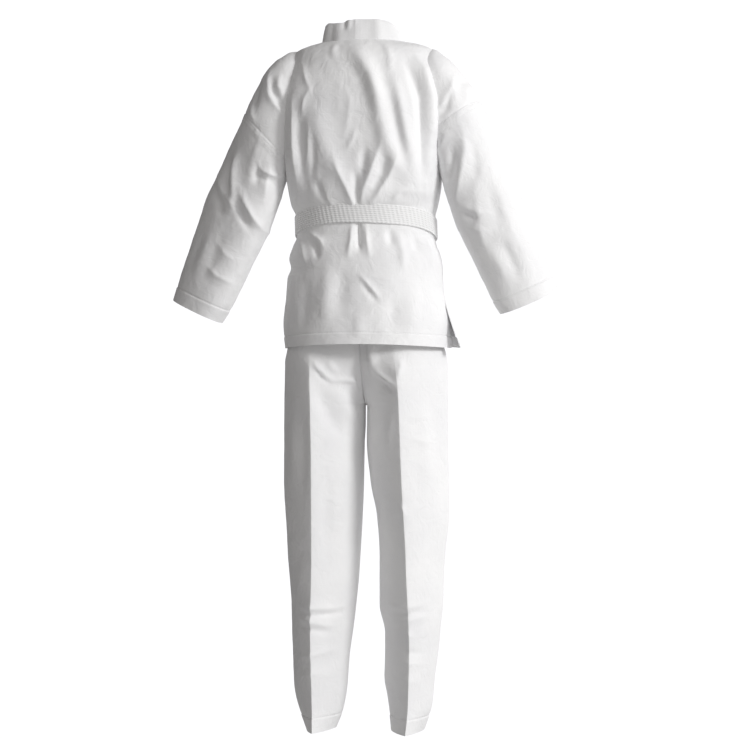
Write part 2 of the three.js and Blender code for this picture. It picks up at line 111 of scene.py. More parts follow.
def addNode(tree, kind, values=None, links=None):  # one node with its settings and what feeds it
    node = tree.nodes.new(kind)
    for key, value in (values or {}).items():
        if isinstance(key, str) and hasattr(node, key):
            setattr(node, key, value)
        else:
            node.inputs[key].default_value = value
    for key, source in (links or {}).items():
        tree.links.new(source, node.inputs[key])
    return node


def skyPatch(tree, seen, at, edge, low, high):  # sky that grows from low to high towards a direction
    facing = addNode(tree, "ShaderNodeVectorMath", {"operation": "DOT_PRODUCT", 1: at}, {0: seen})
    return addNode(tree, "ShaderNodeMapRange",
                   {"interpolation_type": "SMOOTHSTEP", "From Min": edge[0], "From Max": edge[1],
                    "To Min": low, "To Max": high}, {"Value": facing.outputs["Value"]})


def makeRoom():
    world = bpy.data.worlds.new("studio")
    bpy.context.scene.world = world
    world.use_nodes = True
    tree = world.node_tree
    tree.nodes.clear()
    seen = addNode(tree, "ShaderNodeTexCoord").outputs["Generated"]
    backdrop = skyPatch(tree, seen, room["backdropAt"], room["backdropEdge"], 0.0, room["backdrop"])
    side = skyPatch(tree, seen, room["brightSideAt"], room["brightSideEdge"],
                    room["dimSide"], room["brightSide"])
    both = addNode(tree, "ShaderNodeMath", {"operation": "MAXIMUM"},
                   {0: backdrop.outputs["Result"], 1: side.outputs["Result"]})
    tint = addNode(tree, "ShaderNodeMix", {"data_type": "RGBA"}, {0: both.outputs["Value"]})
    tint.inputs[6].default_value = linear(room["dimTint"])
    tint.inputs[7].default_value = linear(room["brightTint"])
    sky = addNode(tree, "ShaderNodeBackground", None,
                  {"Color": tint.outputs[2], "Strength": both.outputs["Value"]})
    addNode(tree, "ShaderNodeOutputWorld", None, {"Surface": sky.outputs["Background"]})

    bpy.ops.mesh.primitive_plane_add(size=room["floorSize"], location=(0, 0, -room["floorDrop"]))
    floor = bpy.context.object
    floor.name = "studioFloor"
    paint = bpy.data.materials.new("paleFloorPaint")
    paint.use_nodes = True
    shader = paint.node_tree.nodes["Principled BSDF"]
    shader.inputs["Base Color"].default_value = linear(room["floorColour"])
    shader.inputs["Roughness"].default_value = 0.9
    floor.data.materials.append(paint)

    for name in ("key", "fill"):
        lamp = bpy.data.lights.new(f"{name}Light", "AREA")
        lamp.shape = "DISK"
        lamp.size = room[f"{name}Size"]
        lamp.energy = room[f"{name}Power"]
        light = bpy.data.objects.new(f"{name}Light", lamp)
        light.location = room[f"{name}Place"]
        light.rotation_euler = (Vector((0, 0, -0.5)) - light.location).to_track_quat("-Z", "Y").to_euler()
        bpy.context.scene.collection.objects.link(light)
    bpy.context.scene.view_settings.view_transform = "Standard"


makeRoom()
print("camera and room made")

# ---- cloth materials


def makeCloth(name, colour, shade, threadPitch, weaveDepth, crumpleDepth, roughness, sheen):
    material = bpy.data.materials.new(name)
    material.use_nodes = True
    tree = material.node_tree
    shader = tree.nodes["Principled BSDF"]
    shader.inputs["Roughness"].default_value = roughness
    shader.inputs["Sheen Weight"].default_value = sheen
    shader.inputs["Sheen Roughness"].default_value = 0.45
    shader.inputs["Specular IOR Level"].default_value = 0.25
    place = addNode(tree, "ShaderNodeTexCoord")
    flat, solid = place.outputs["UV"], place.outputs["Object"]
    turns = 0.05 / (threadPitch * mm)
    warp, weft = [
        addNode(tree, "ShaderNodeTexWave",
                {"bands_direction": way, "Scale": turns, "Distortion": 0.6, "Detail": 1.0,
                 "Detail Scale": 1.5}, {"Vector": flat})
        for way in ("X", "Y")]
    slub = addNode(tree, "ShaderNodeTexNoise", {"Scale": 160.0, "Detail": 3.0}, {"Vector": flat})
    cloud = addNode(tree, "ShaderNodeTexNoise", {"Scale": 9.0, "Detail": 4.0}, {"Vector": solid})
    threads = addNode(tree, "ShaderNodeMath", {"operation": "MULTIPLY"},
                      {0: warp.outputs["Fac"], 1: weft.outputs["Fac"]})
    height = addNode(tree, "ShaderNodeMath", {"operation": "MULTIPLY_ADD", 1: 0.5},
                     {0: slub.outputs["Fac"], 2: threads.outputs["Value"]})
    bump = addNode(tree, "ShaderNodeBump", {"Strength": 0.35, "Distance": weaveDepth * mm},
                   {"Height": height.outputs["Value"]})
    crumple = addNode(tree, "ShaderNodeTexNoise",
                      {"Scale": 38.0, "Detail": 2.5, "Roughness": 0.5, "Distortion": 1.2}, {"Vector": solid})
    bump = addNode(tree, "ShaderNodeBump", {"Strength": 0.5, "Distance": crumpleDepth * mm},
                   {"Height": crumple.outputs["Fac"], "Normal": bump.outputs["Normal"]})
    tone = addNode(tree, "ShaderNodeMapRange", {"From Min": 0.3, "From Max": 0.7},
                   {"Value": cloud.outputs["Fac"]})
    mix = addNode(tree, "ShaderNodeMix", {"data_type": "RGBA"}, {0: tone.outputs["Result"]})
    mix.inputs[6].default_value = linear(colour)
    mix.inputs[7].default_value = linear(shade)
    tree.links.new(mix.outputs[2], shader.inputs["Base Color"])
    tree.links.new(bump.outputs["Normal"], shader.inputs["Normal"])
    return material


# plain-woven polyester and cotton, pressed: white, matt, a faint halo at grazing light
clothMaterial = makeCloth("wovenPolycotton", colour="#f4f4f4", shade="#ececed", threadPitch=0.9,
                          weaveDepth=0.12, crumpleDepth=3.0, roughness=0.82, sheen=0.15)
# the same cloth doubled at hems and bands, a little denser
bandMaterial = makeCloth("doubledPolycotton", colour="#f2f2f2", shade="#e9e9ea", threadPitch=0.9,
                         weaveDepth=0.15, crumpleDepth=1.8, roughness=0.8, sheen=0.15)
# quilted cotton belt, coarser thread and no gloss
beltMaterial = makeCloth("quiltedCotton", colour="#efefef", shade="#e6e6e6", threadPitch=1.2,
                         weaveDepth=0.2, crumpleDepth=0.8, roughness=0.9, sheen=0.1)
# polyester sewing thread, smoother than the cloth it lies on
threadMaterial = makeCloth("sewingThread", colour="#eeeeee", shade="#dedede", threadPitch=0.5,
                           weaveDepth=0.05, crumpleDepth=0.1, roughness=0.55, sheen=0.05)
# knitted elastic, warm white and dull
elasticMaterial = makeCloth("knittedElastic", colour="#e8e6e0", shade="#dddad2", threadPitch=1.5,
                            weaveDepth=0.25, crumpleDepth=0.3, roughness=0.9, sheen=0.0)
print("materials made")

# ---- helpers for shaped cloth


def follow(keys, at):  # a smooth value through (place, value) keys, without overshoot
    table = np.array(sorted(keys), float)
    x, y = table[:, 0], table[:, 1]
    step = np.diff(x)
    slope = np.diff(y) / step
    tangent = np.concatenate([slope[:1], np.zeros(len(slope) - 1), slope[-1:]])
    same = slope[:-1] * slope[1:] > 0
    both = np.where(same, slope[:-1] + slope[1:], 1)
    tangent[1:-1] = np.where(same, 2 * slope[:-1] * slope[1:] / both, 0)
    at = np.asarray(at, float)
    i = np.clip(np.searchsorted(x, at) - 1, 0, len(step) - 1)
    t = np.clip((at - x[i]) / step[i], 0, 1)
    a = (1 + 2 * t) * (1 - t) ** 2
    b = t * (1 - t) ** 2 * step[i]
    c = t * t * (3 - 2 * t)
    d = t * t * (t - 1) * step[i]
    return a * y[i] + b * tangent[i] + c * y[i + 1] + d * tangent[i + 1]


def smooth(t):
    t = np.clip(t, 0, 1)
    return t * t * (3 - 2 * t)


# A fold is (kind, height, width, points): a line on the cloth, across and along it, that is
# lifted by height and dies away over width. Kinds: "soft" is a rounded roll and "crisp" a pressed
# edge. A line fades at its ends, and "open" after the kind keeps its first end at full height.
foldFade = 0.42  # the share of a fold's length over which an end fades


def foldLift(folds, across, along):
    lift = np.zeros_like(across)
    for kind, height, width, points in folds:
        nearest = np.full_like(across, 1e9)
        run = np.zeros_like(across)
        points = np.array(points, float)
        lengths = np.hypot(*np.diff(points, axis=0).T)
        total = lengths.sum()
        before = 0
        for start, end, length in zip(points[:-1], points[1:], lengths):
            ux, uz = (end - start) / length
            dx, dz = across - start[0], along - start[1]
            t = np.clip(dx * ux + dz * uz, 0, length)
            gap = np.hypot(dx - t * ux, dz - t * uz)
            closer = gap < nearest
            nearest = np.where(closer, gap, nearest)
            run = np.where(closer, (before + t) / total, run)
            before += length
        fade = smooth((1 - run) / foldFade)
        if "open" not in kind:
            fade = fade * smooth(run / foldFade)
        sharpness = 2 if "soft" in kind else 1.15
        lift += height * fade * np.exp(-(nearest / width) ** sharpness)
    return lift


def ripple(places, size, seed):  # gentle unevenness of about plus or minus one
    shift = Vector((seed * 17.3, seed * 5.1, seed * 9.7))
    values = [noise.noise(Vector(p) / size + shift) for p in places.reshape(-1, 3)]
    return np.array(values).reshape(places.shape[:-1])


def surfaceNormals(points):
    du = np.gradient(points, axis=1)
    dv = np.gradient(points, axis=0)
    n = np.cross(du, dv)
    return n / np.maximum(np.linalg.norm(n, axis=2, keepdims=True), 1e-9)


def clothMesh(name, points, material, thickness=0.9, closed=False, keep=None):
    # points is rows by columns, the rows running down the cloth; keep drops some of its faces
    rows, columns = points.shape[:2]
    index = np.arange(rows * columns).reshape(rows, columns)
    if closed:
        index = np.hstack([index, index[:, :1]])
    quads = np.stack([index[:-1, :-1], index[1:, :-1], index[1:, 1:], index[:-1, 1:]], -1)
    if keep is not None:
        quads = quads[keep[:quads.shape[0], :quads.shape[1]]]
    quads = quads.reshape(-1, 4)
    mesh = bpy.data.meshes.new(name)
    mesh.from_pydata(points.reshape(-1, 3) * mm, [], quads.tolist())
    # the flat cloth: how far along the rows and columns each corner of a face lies
    down = np.linalg.norm(np.diff(points, axis=0), axis=2).mean(1)
    down = np.concatenate([[0], np.cumsum(down)])
    over = np.linalg.norm(np.diff(points, axis=1), axis=2).mean(0)
    over = np.concatenate([[0], np.cumsum(over)])
    if closed:
        over = np.append(over, over[-1] + over[1])
    flat = np.stack(np.broadcast_arrays(over[None, :], down[:, None]), -1)
    corners = np.stack([flat[:-1, :-1], flat[1:, :-1], flat[1:, 1:], flat[:-1, 1:]], 2)
    if keep is not None:
        corners = corners[keep[:corners.shape[0], :corners.shape[1]]]
    uv = mesh.uv_layers.new(name="cloth")
    uv.data.foreach_set("uv", (corners * mm).astype(np.float32).ravel())
    mesh.polygons.foreach_set("use_smooth", np.ones(len(mesh.polygons), bool))
    mesh.materials.append(material)
    mesh.update()
    shape = bmesh.new()
    shape.from_mesh(mesh)
    for edge in shape.edges:
        edge.smooth = not edge.is_boundary  # a wall's rim then leaves the shading of the face alone
    shape.to_mesh(mesh)
    shape.free()
    made = bpy.data.objects.new(name, mesh)
    bpy.context.scene.collection.objects.link(made)
    if thickness:
        wall = made.modifiers.new("wall", "SOLIDIFY")
        wall.thickness = thickness * mm
        wall.offset = -1
        wall.use_even_offset = False
    return made


shoulder = (150, -72)  # across and level


def bendArm(piece):
    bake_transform(piece)


def bendShoulder(piece):
    bendArm(piece)


def bendElbow(piece):
    bendArm(piece)


def bendLeg(piece):
    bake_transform(piece)


def bendHip(piece):
    bendLeg(piece)


def bendKnee(piece):
    bendLeg(piece)


def bendSkirt(piece):
    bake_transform(piece)


def bendBack(piece):
    bendSkirt(piece)


def bendFront(piece):
    bendSkirt(piece)


thread = {"pitch": 3.4, "length": 2.6, "width": 0.7, "height": 0.45}
stitchFaces = np.array([(0, 1, 2), (0, 2, 3), (0, 3, 4), (0, 4, 1),
                        (5, 2, 1), (5, 3, 2), (5, 4, 3), (5, 1, 4)])


def sewLine(name, lines):  # a row of stitches along each line, given as points and outward directions
    pitch = thread["pitch"]
    spots, faces = [], []
    for path, outward in lines:
        gaps = np.linalg.norm(np.diff(path, axis=0), axis=1)
        run = np.concatenate([[0], np.cumsum(gaps)])
        at = np.arange(pitch / 2, run[-1], pitch)
        centre = np.stack([np.interp(at, run, path[:, i]) for i in range(3)], -1)
        ahead = np.stack([np.interp(at + 0.5, run, path[:, i]) - np.interp(at - 0.5, run, path[:, i])
                          for i in range(3)], -1)
        ahead /= np.maximum(np.linalg.norm(ahead, axis=1, keepdims=True), 1e-9)
        up = np.stack([np.interp(at, run, outward[:, i]) for i in range(3)], -1)
        up /= np.maximum(np.linalg.norm(up, axis=1, keepdims=True), 1e-9)
        aside = np.cross(up, ahead)
        half, wide, high = thread["length"] / 2, thread["width"] / 2, thread["height"]
        six = [centre - ahead * half, centre + aside * wide, centre + up * high, centre - aside * wide,
               centre - up * high * 0.6, centre + ahead * half]
        first = len(spots) * 6
        spots.extend(np.stack(six, 1))
        faces.append((stitchFaces[None] + first + 6 * np.arange(len(centre))[:, None, None]).reshape(-1, 3))
    mesh = bpy.data.meshes.new(name)
    turned = np.concatenate(faces)[:, ::-1]
    mesh.from_pydata(np.concatenate(spots).reshape(-1, 3) * mm, [], turned.tolist())
    mesh.polygons.foreach_set("use_smooth", np.ones(len(mesh.polygons), bool))
    mesh.materials.append(threadMaterial)
    made = bpy.data.objects.new(name, mesh)
    bpy.context.scene.collection.objects.link(made)
    return made


# ---- jacket body

jacket = {
    "columns": 170,
    "rowStep": 3.2,
    "fineStep": 1.1,  # rows at the hem
    "fineFrom": 618,  # along the path from the neck seam
    "pathEnd": 655,
    "overShoulder": 44,  # how much longer the path is than the drop
    "ventTop": 492,
    "seamGap": 0.4,
    "thickness": 1.0,
    "hemStitch": -587,
    "hemThickness": 0.9,
    "hemRise": 7,  # how much higher the hem hangs in the middle
    "flapTurn": 46,  # how far the right edge of the front turns back round the side below the vent
}
# down the body from the neck seam: path, then level
bodyLevel = [(0, 2), (18, -2), (38, -9), (58, -18), (78, -34), (110, -66), (140, -96), (664, -620)]
# level, and half width to the wearer's left and right
backLeft = [(2, 80), (-2, 98), (-9, 120), (-18, 140), (-34, 150), (-66, 153), (-120, 158), (-200, 160),
            (-262, 158), (-290, 156), (-324, 151), (-347, 141), (-385, 139), (-405, 147), (-432, 155),
            (-450, 151), (-470, 158), (-514, 161), (-562, 166), (-612, 161)]
backRight = [(2, 72), (-2, 90), (-9, 118), (-18, 138), (-34, 150), (-66, 157), (-120, 157), (-200, 153),
             (-260, 152), (-302, 149), (-327, 145), (-347, 140), (-385, 138), (-405, 142), (-426, 150),
             (-448, 154), (-492, 156), (-530, 165), (-566, 174), (-612, 172)]
frontLeft = backLeft
frontRight = backRight[:-4] + [(-492, 156), (-530, 166), (-566, 180), (-608, 196)]
backDepth = [(2, 61), (-2, 66), (-9, 76), (-18, 85), (-34, 95), (-66, 104), (-120, 112), (-180, 114),
             (-240, 112), (-300, 107), (-322, 101), (-335, 94), (-385, 96), (-405, 103), (-440, 110),
             (-512, 124), (-560, 132), (-612, 137)]
frontDepth = [(2, 58), (-2, 62), (-9, 70), (-18, 78), (-34, 87), (-66, 96), (-120, 108), (-180, 115),
              (-240, 113), (-300, 106), (-345, 96), (-362, 94), (-405, 97), (-440, 108), (-512, 123),
              (-560, 131), (-612, 136)]
# how boxy the section is beside the arms, where the cloth rolls over into the armhole
boxiness = [(2, 0), (-30, 0.1), (-80, 0.8), (-150, 1), (-230, 1), (-300, 0.35), (-330, 0.0), (-612, 0)]


def hemLift(past, thickness):  # a turned hem, thicker past its line of stitches, which pulls a groove
    return thickness * smooth((past - 1) / 2.5) - 0.8 * np.exp(-(past / 1.5) ** 2)


def halfShell(path, over, left, right, depth, towardsBack, folds):
    z = follow(bodyLevel, path)[:, None] + 0 * over[None, :]
    width = np.where(over[None, :] > 0, follow(left, z), follow(right, z))
    x = width * np.sin(over[None, :] * math.pi / 2)
    share = np.abs(np.sin(over[None, :] * math.pi / 2))
    round_ = np.sqrt(np.maximum(1 - share ** 2.25, 0))
    boxy = (1 - 0.24 * share ** 2.2) * np.sqrt(np.maximum(1 - share ** 16, 0))
    box = follow(boxiness, z)
    y = follow(depth, z) * ((1 - box) * round_ + box * boxy)
    sign = 1 if towardsBack else -1
    if not towardsBack:
        edge = smooth((share - 0.86) / 0.14) * smooth((-z - 480) / 110) * (over[None, :] < 0)
        y = y - jacket["flapTurn"] * edge
    level = z + jacket["hemRise"] * (1 - share ** 2) * smooth((-z - 450) / 150)
    points = np.stack([x, sign * (y + jacket["seamGap"]), level], -1)
    normal = surfaceNormals(points)
    away = np.stack([x, sign * (np.maximum(y, 0) + 1), 0 * z + 1], -1)
    normal *= np.sign((normal * away).sum(-1, keepdims=True) + 1e-9)
    lift = foldLift(folds, x, z)
    lift += 1.0 * ripple(points, 46, 3 if towardsBack else 4) + 0.4 * ripple(points, 17, 5)
    lift = lift * smooth((1 - share) / 0.02) + hemLift(jacket["hemStitch"] - z, jacket["hemThickness"])
    return points + normal * lift[..., None], normal


backFolds = [
    # the long ridge from the neck down to the belt's far side, and one beside it
    ("soft", 10, 17, [(22, 30), (-4, -24), (-32, -78), (-44, -120), (-50, -166), (-62, -206), (-84, -254),
                      (-130, -330)]),
    ("soft", 6, 15, [(34, 10), (6, -30), (-24, -72), (-40, -116), (-46, -180)]),
    ("soft", 7.5, 13, [(-52, -30), (-80, -106), (-91, -160), (-102, -216), (-122, -300)]),
    ("soft", -4.5, 10, [(-64, -90), (-74, -140), (-82, -190), (-100, -260)]),
    ("soft", -12, 10, [(-76, -14), (-104, -66), (-124, -120), (-129, -190), (-128, -320)]),
    ("soft", 10, 8, [(-96, -8), (-130, -64), (-144, -120), (-145, -200), (-142, -290)]),
    ("crisp", 3, 5, [(-134, -60), (-148, -100), (-152, -160)]),
    ("soft", 2.5, 8, [(-52, -6), (-64, -40), (-70, -76)]),
    # the slope down the left of the back
    ("soft", 6.5, 22, [(80, -100), (78, -160), (70, -200), (52, -246), (24, -316)]),
    ("soft", -6.5, 12, [(122, -120), (117, -176), (112, -226), (104, -330)]),
    ("crisp", 5, 8, [(134, -80), (131, -140), (130, -210), (122, -320)]),
    ("crisp", 3.4, 7, [(118, -40), (102, -84), (86, -118)]),
    ("crisp", 3.4, 6, [(88, -92), (106, -120), (112, -160)]),
    ("crisp", 3, 6, [(94, -150), (98, -220), (112, -290)]),
    ("soft", -3, 7, [(84, -176), (86, -240), (96, -300)]),
    ("soft", 2.5, 7, [(48, -4), (50, -24), (42, -44)]),
    ("crisp", 2.0, 7, [(22, -90), (12, -130), (18, -176), (30, -214)]),
    ("crisp", 2.4, 6, [(-4, -168), (6, -200), (26, -236)]),
    # gathered upward from the belt
    ("crisp open", 7, 10, [(4, -330), (20, -296), (38, -256), (50, -220)]),
    ("soft open", -6, 7, [(1, -330), (2, -290), (4, -250)]),
    ("crisp", 9, 12, [(2, -350), (-14, -300), (-30, -262), (-48, -214), (-52, -180)]),
    ("soft", -5, 9, [(-4, -300), (-14, -250), (-20, -204)]),
    ("crisp", 9, 12, [(-10, -350), (-42, -306), (-66, -270), (-80, -236), (-78, -206)]),
    ("soft", -6, 9, [(-24, -320), (-50, -270), (-60, -222)]),
    ("crisp", 4, 7, [(-60, -330), (-84, -304), (-116, -296)]),
    ("crisp", 3.5, 7, [(70, -290), (60, -316), (40, -340)]),
    ("soft", -4, 8, [(90, -270), (76, -300), (52, -330)]),
    ("crisp", 3, 6, [(-134, -270), (-128, -322)]),
    # below the belt
    ("soft", -9, 5, [(0, -350), (-2, -384), (-6, -430)]),
    ("crisp", 5.5, 6, [(12, -356), (12, -400), (18, -444)]),
    ("crisp", 5.5, 6, [(-14, -356), (-20, -400), (-28, -444)]),
    ("crisp", 4.5, 5, [(-2, -462), (-28, -492), (-56, -524)]),
    ("soft", -3.5, 6, [(-8, -478), (-32, -510), (-50, -534)]),
    ("crisp", 6.5, 6, [(112, -376), (92, -388), (74, -400), (62, -420)]),
    ("soft", -6, 6, [(104, -396), (86, -410), (78, -440)]),
    ("crisp", 4.5, 6, [(132, -390), (114, -412), (104, -452)]),
    ("soft", 4, 8, [(-76, -378), (-88, -420), (-94, -470)]),
    ("soft", -4.5, 8, [(-60, -372), (-70, -416)]),
    ("crisp", 5, 7, [(-122, -384), (-136, -420), (-144, -454)]),
    ("soft", -4, 7, [(-104, -384), (-120, -430)]),
    ("soft", 4, 16, [(56, -430), (60, -520), (56, -600)]),
    ("soft", -3, 14, [(26, -440), (30, -560)]),
    ("soft", 3.5, 16, [(-108, -470), (-116, -600)]),
    ("soft", -3, 14, [(-74, -500), (-80, -600)]),
    ("soft", -3, 12, [(102, -460), (106, -600)]),
    ("soft", 3, 12, [(132, -430), (134, -560)]),
    ("soft", 2.6, 12, [(-8, -540), (-10, -604)]),
    ("crisp", 2, 8, [(20, -470), (-60, -476), (-110, -468)]),
]
frontFolds = [
    ("soft", 7, 10, [(60, -120), (70, -220), (38, -330)]),
    ("soft", 7, 10, [(-56, -130), (-72, -230), (-34, -330)]),
    ("soft", -7, 8, [(44, -240), (26, -330)]),
    ("soft", -7, 8, [(-46, -240), (-26, -330)]),
    ("crisp", 6, 8, [(6, -250), (2, -335)]),
    ("crisp", 5, 8, [(26, -250), (14, -335)]),
    ("soft", 6, 9, [(114, -70), (118, -180), (96, -320)]),
    ("soft", 6, 9, [(-114, -70), (-120, -180), (-92, -320)]),
    ("soft", -5.5, 8, [(92, -130), (86, -300)]),
    ("soft", -5.5, 8, [(-94, -130), (-84, -300)]),
    ("soft", 4, 8, [(136, -80), (138, -220), (128, -310)]),
    ("soft", 4, 8, [(-136, -80), (-138, -220), (-128, -310)]),
    ("crisp", 5, 7, [(40, -395), (50, -470)]),
    ("crisp", 5, 7, [(-44, -395), (-56, -480)]),
    ("soft", -6, 6, [(16, -395), (20, -460)]),
    ("soft", -6, 6, [(-18, -395), (-26, -470)]),
    ("crisp", 4, 7, [(92, -392), (104, -450)]),
    ("crisp", 4, 7, [(-92, -392), (-106, -450)]),
    ("soft", 4, 16, [(70, -480), (78, -600)]),
    ("soft", 4, 16, [(-76, -480), (-84, -600)]),
    ("soft", -3, 14, [(20, -480), (24, -600)]),
]
neckV = {"topHalf": 71, "tip": -196, "band": 36}


def vHalf(z):
    return neckV["topHalf"] * np.clip((z - neckV["tip"]) / -neckV["tip"], 0, None)


def makeJacketBody():
    path = np.concatenate([np.arange(0, jacket["fineFrom"], jacket["rowStep"]),
                           np.arange(jacket["fineFrom"], jacket["pathEnd"], jacket["fineStep"])])
    over = np.linspace(-1, 1, jacket["columns"])
    back, backOut = halfShell(path, over, backLeft, backRight, backDepth, True, backFolds)
    backPiece = clothMesh("jacketBack", back[:, ::-1], clothMaterial, jacket["thickness"])
    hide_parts("back_panel", "back_skirt", "back_hem")
    bendBack(backPiece)
    front, frontOut = halfShell(path, over, frontLeft, frontRight, frontDepth, False, frontFolds)
    x, z = front[..., 0], front[..., 2]
    keep = (np.abs(x) > vHalf(z) + 9)[:-1, :-1] | (z < neckV["tip"] - 14)[:-1, :-1]
    frontPiece = clothMesh("jacketFront", front, clothMaterial, jacket["thickness"], keep=keep)
    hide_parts("front_panel", "front_skirt", "front_hem")
    bendFront(frontPiece)
    drop = path - jacket["overShoulder"]
    hemRow = int(np.argmin(np.abs(drop + jacket["hemStitch"])))
    ventTop = int(np.argmin(np.abs(drop - jacket["ventTop"])))
    for name, surface, outward, bend in (("backHemStitches", back, backOut, bendBack),
                                         ("frontHemStitches", front, frontOut, bendFront)):
        lines = [(surface[hemRow], outward[hemRow])]
        for column in (3, -4):
            lines.append((surface[ventTop:, column], outward[ventTop:, column]))
        bend(sewLine(name, lines))
    return front


frontSurface = makeJacketBody()
print("jacket body made")

# ---- collar and neck bands

collar = {
    "thickness": 2.2,
    "rowsAcross": 22,
    "height": 38,
    "leftRun": 226,  # how long each lapel is, the left one crossing over the right
    "rightRun": 206,
    "aside": -20,  # the collar sits a little to the wearer's left
    "leftLayer": 4.6,  # how far each lapel lies in front of the chest
    "rightLayer": 2.6,
    "stitchIn": 3.5,  # how far the rows of stitches run from the edges
}
# the left half from the middle of the back: place along, then where the seam and the free edge run
seamX = [(0, 6), (0.10, 40), (0.20, 66), (0.30, 82), (0.38, 84), (0.46, 88), (0.54, 98)]
seamY = [(0, 63.5), (0.10, 60), (0.20, 48), (0.30, 28), (0.38, 0), (0.46, -32)]
seamZ = [(0, -3), (0.10, -3), (0.20, -4), (0.30, -7), (0.38, -11), (0.46, -19), (0.54, -32)]
edgeX = [(0, 6), (0.10, 38), (0.20, 62), (0.30, 75), (0.38, 76), (0.46, 71), (0.54, 63.8)]
edgeY = [(0, 58), (0.10, 54), (0.20, 46), (0.30, 30), (0.38, 2), (0.46, -28)]
edgeZ = [(0, 40), (0.06, 38), (0.11, 34), (0.16, 34.5), (0.22, 35.5), (0.28, 30), (0.34, 22), (0.42, 10),
         (0.54, -20)]
rightEdgeZ = [(0, 40), (0.10, 40), (0.20, 37), (0.28, 27), (0.34, 20), (0.42, 8), (0.54, -20)]
lapelStart = {"share": 0.54, "x": 63.8, "z": -20}  # where the stand turns into the straight lapel
collarFolds = [
    ("soft", 2.6, 6, [(20, 60), (24, 14)]),
    ("soft", -2.4, 5, [(31, 60), (34, 14)]),
    ("soft", -2.5, 9, [(62, -20), (56, 60)]),
    ("soft", 2.2, 10, [(-36, -20), (-30, 60)]),
]


def frontDepthAt(x, z):  # how far forward the front of the jacket is
    levels = frontSurface[:, 0, 2]
    rows = np.clip(np.searchsorted(-levels, -np.asarray(z)), 0, len(levels) - 1)
    return np.array([np.interp(px, frontSurface[r, :, 0], frontSurface[r, :, 1]) for px, r in zip(x, rows)])


def bandHalf(side, layer):
    t = np.linspace(0, 1, 150)
    left = side == 1
    turn = lapelStart["share"]
    stand = np.minimum(t, turn)
    lean = math.atan(neckV["topHalf"] / -neckV["tip"])
    run = np.clip((t - turn) / (1 - turn), 0, 1) * collar["leftRun" if left else "rightRun"]
    ex = np.where(t < turn, follow(edgeX, stand), lapelStart["x"] - run * math.sin(lean))
    standZ = follow(edgeZ if left else rightEdgeZ, stand)
    ez = np.where(t < turn, standZ, lapelStart["z"] - run * math.cos(lean))
    sx = np.where(t < turn, follow(seamX, stand), ex + neckV["band"] * math.cos(lean))
    sz = np.where(t < turn, follow(seamZ, stand), ez - neckV["band"] * math.sin(lean))
    shift = 0 if left else collar["aside"] * smooth((0.5 - t) / 0.5)
    ex, sx = ex + shift, sx + shift
    hold = smooth((t - 0.42) / 0.14)  # from here on the band lies on the chest
    back = np.minimum(t, 0.46)
    ey = (1 - hold) * follow(edgeY, back) + hold * (frontDepthAt(side * ex, ez) - layer)
    sy = (1 - hold) * follow(seamY, back) + hold * (frontDepthAt(side * sx, sz) - layer)
    seam = np.stack([side * sx, sy, sz], -1)
    edge = np.stack([side * ex, ey, ez], -1)
    share = np.linspace(0, 1, collar["rowsAcross"])[:, None, None]
    strip = edge[None] * (1 - share) + seam[None] * share
    for i in range(1, collar["rowsAcross"] - 1):
        x, z = strip[i, :, 0], strip[i, :, 2]
        strip[i, :, 1] = (1 - hold) * strip[i, :, 1] + hold * (frontDepthAt(x, z) - layer)
    out = surfaceNormals(strip)
    out *= np.sign((out * strip * np.array([1, 1, 0])).sum(-1, keepdims=True))
    height = collar["height"]
    cross = share[..., 0] * height
    lift = 0.9 * np.exp(-((cross - height / 2) / 15) ** 2) + 0.7 * ripple(strip, 22, 21)
    lift += foldLift(collarFolds, strip[..., 0], height - cross) * (1 - hold)[None]
    for groove in (collar["stitchIn"], height - collar["stitchIn"]):
        lift -= 0.6 * np.exp(-((cross - groove) / 1.6) ** 2)
    return strip + out * lift[..., None], out


def makeCollar():
    left, leftOut = bandHalf(1, collar["leftLayer"])
    right, rightOut = bandHalf(-1, collar["rightLayer"])
    whole = np.concatenate([left[:, ::-1], right[:, 1:]], axis=1)
    outward = np.concatenate([leftOut[:, ::-1], rightOut[:, 1:]], axis=1)
    middle = left.shape[1] - 1
    for near in range(1, 9):  # the two halves meet smoothly behind the neck
        share = 0.5 * (1 - near / 9)
        gap = left[:, 0] - right[:, 0]
        whole[:, middle - near] -= gap * share
        whole[:, middle + near] += gap * share
    whole[:, middle] = (left[:, 0] + right[:, 0]) / 2
    band = clothMesh("neckBand", whole[:, ::-1], bandMaterial, collar["thickness"])
    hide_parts("collar_stand", "left_lapel", "right_lapel")
    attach(band, "jacket")
    stitches = sewLine("neckBandStitches", [(whole[row], outward[row]) for row in (2, -3)])
    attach(stitches, "jacket")


makeCollar()
print("collar made")

# ---- sleeves

sleeve = {
    "division": 160,  # where the shoulder piece hands over to the sleeve, below the armhole seam
    "columns": 110,
    "rowStep": 3.0,
    "seamStep": 1.25,  # rows about the armhole seam
    "fineStep": 1.1,  # rows at the cuff
    "thickness": 1.0,
    "cuff": 29,
    "cuffThickness": 0.9,
    "seamWidth": 13,
}
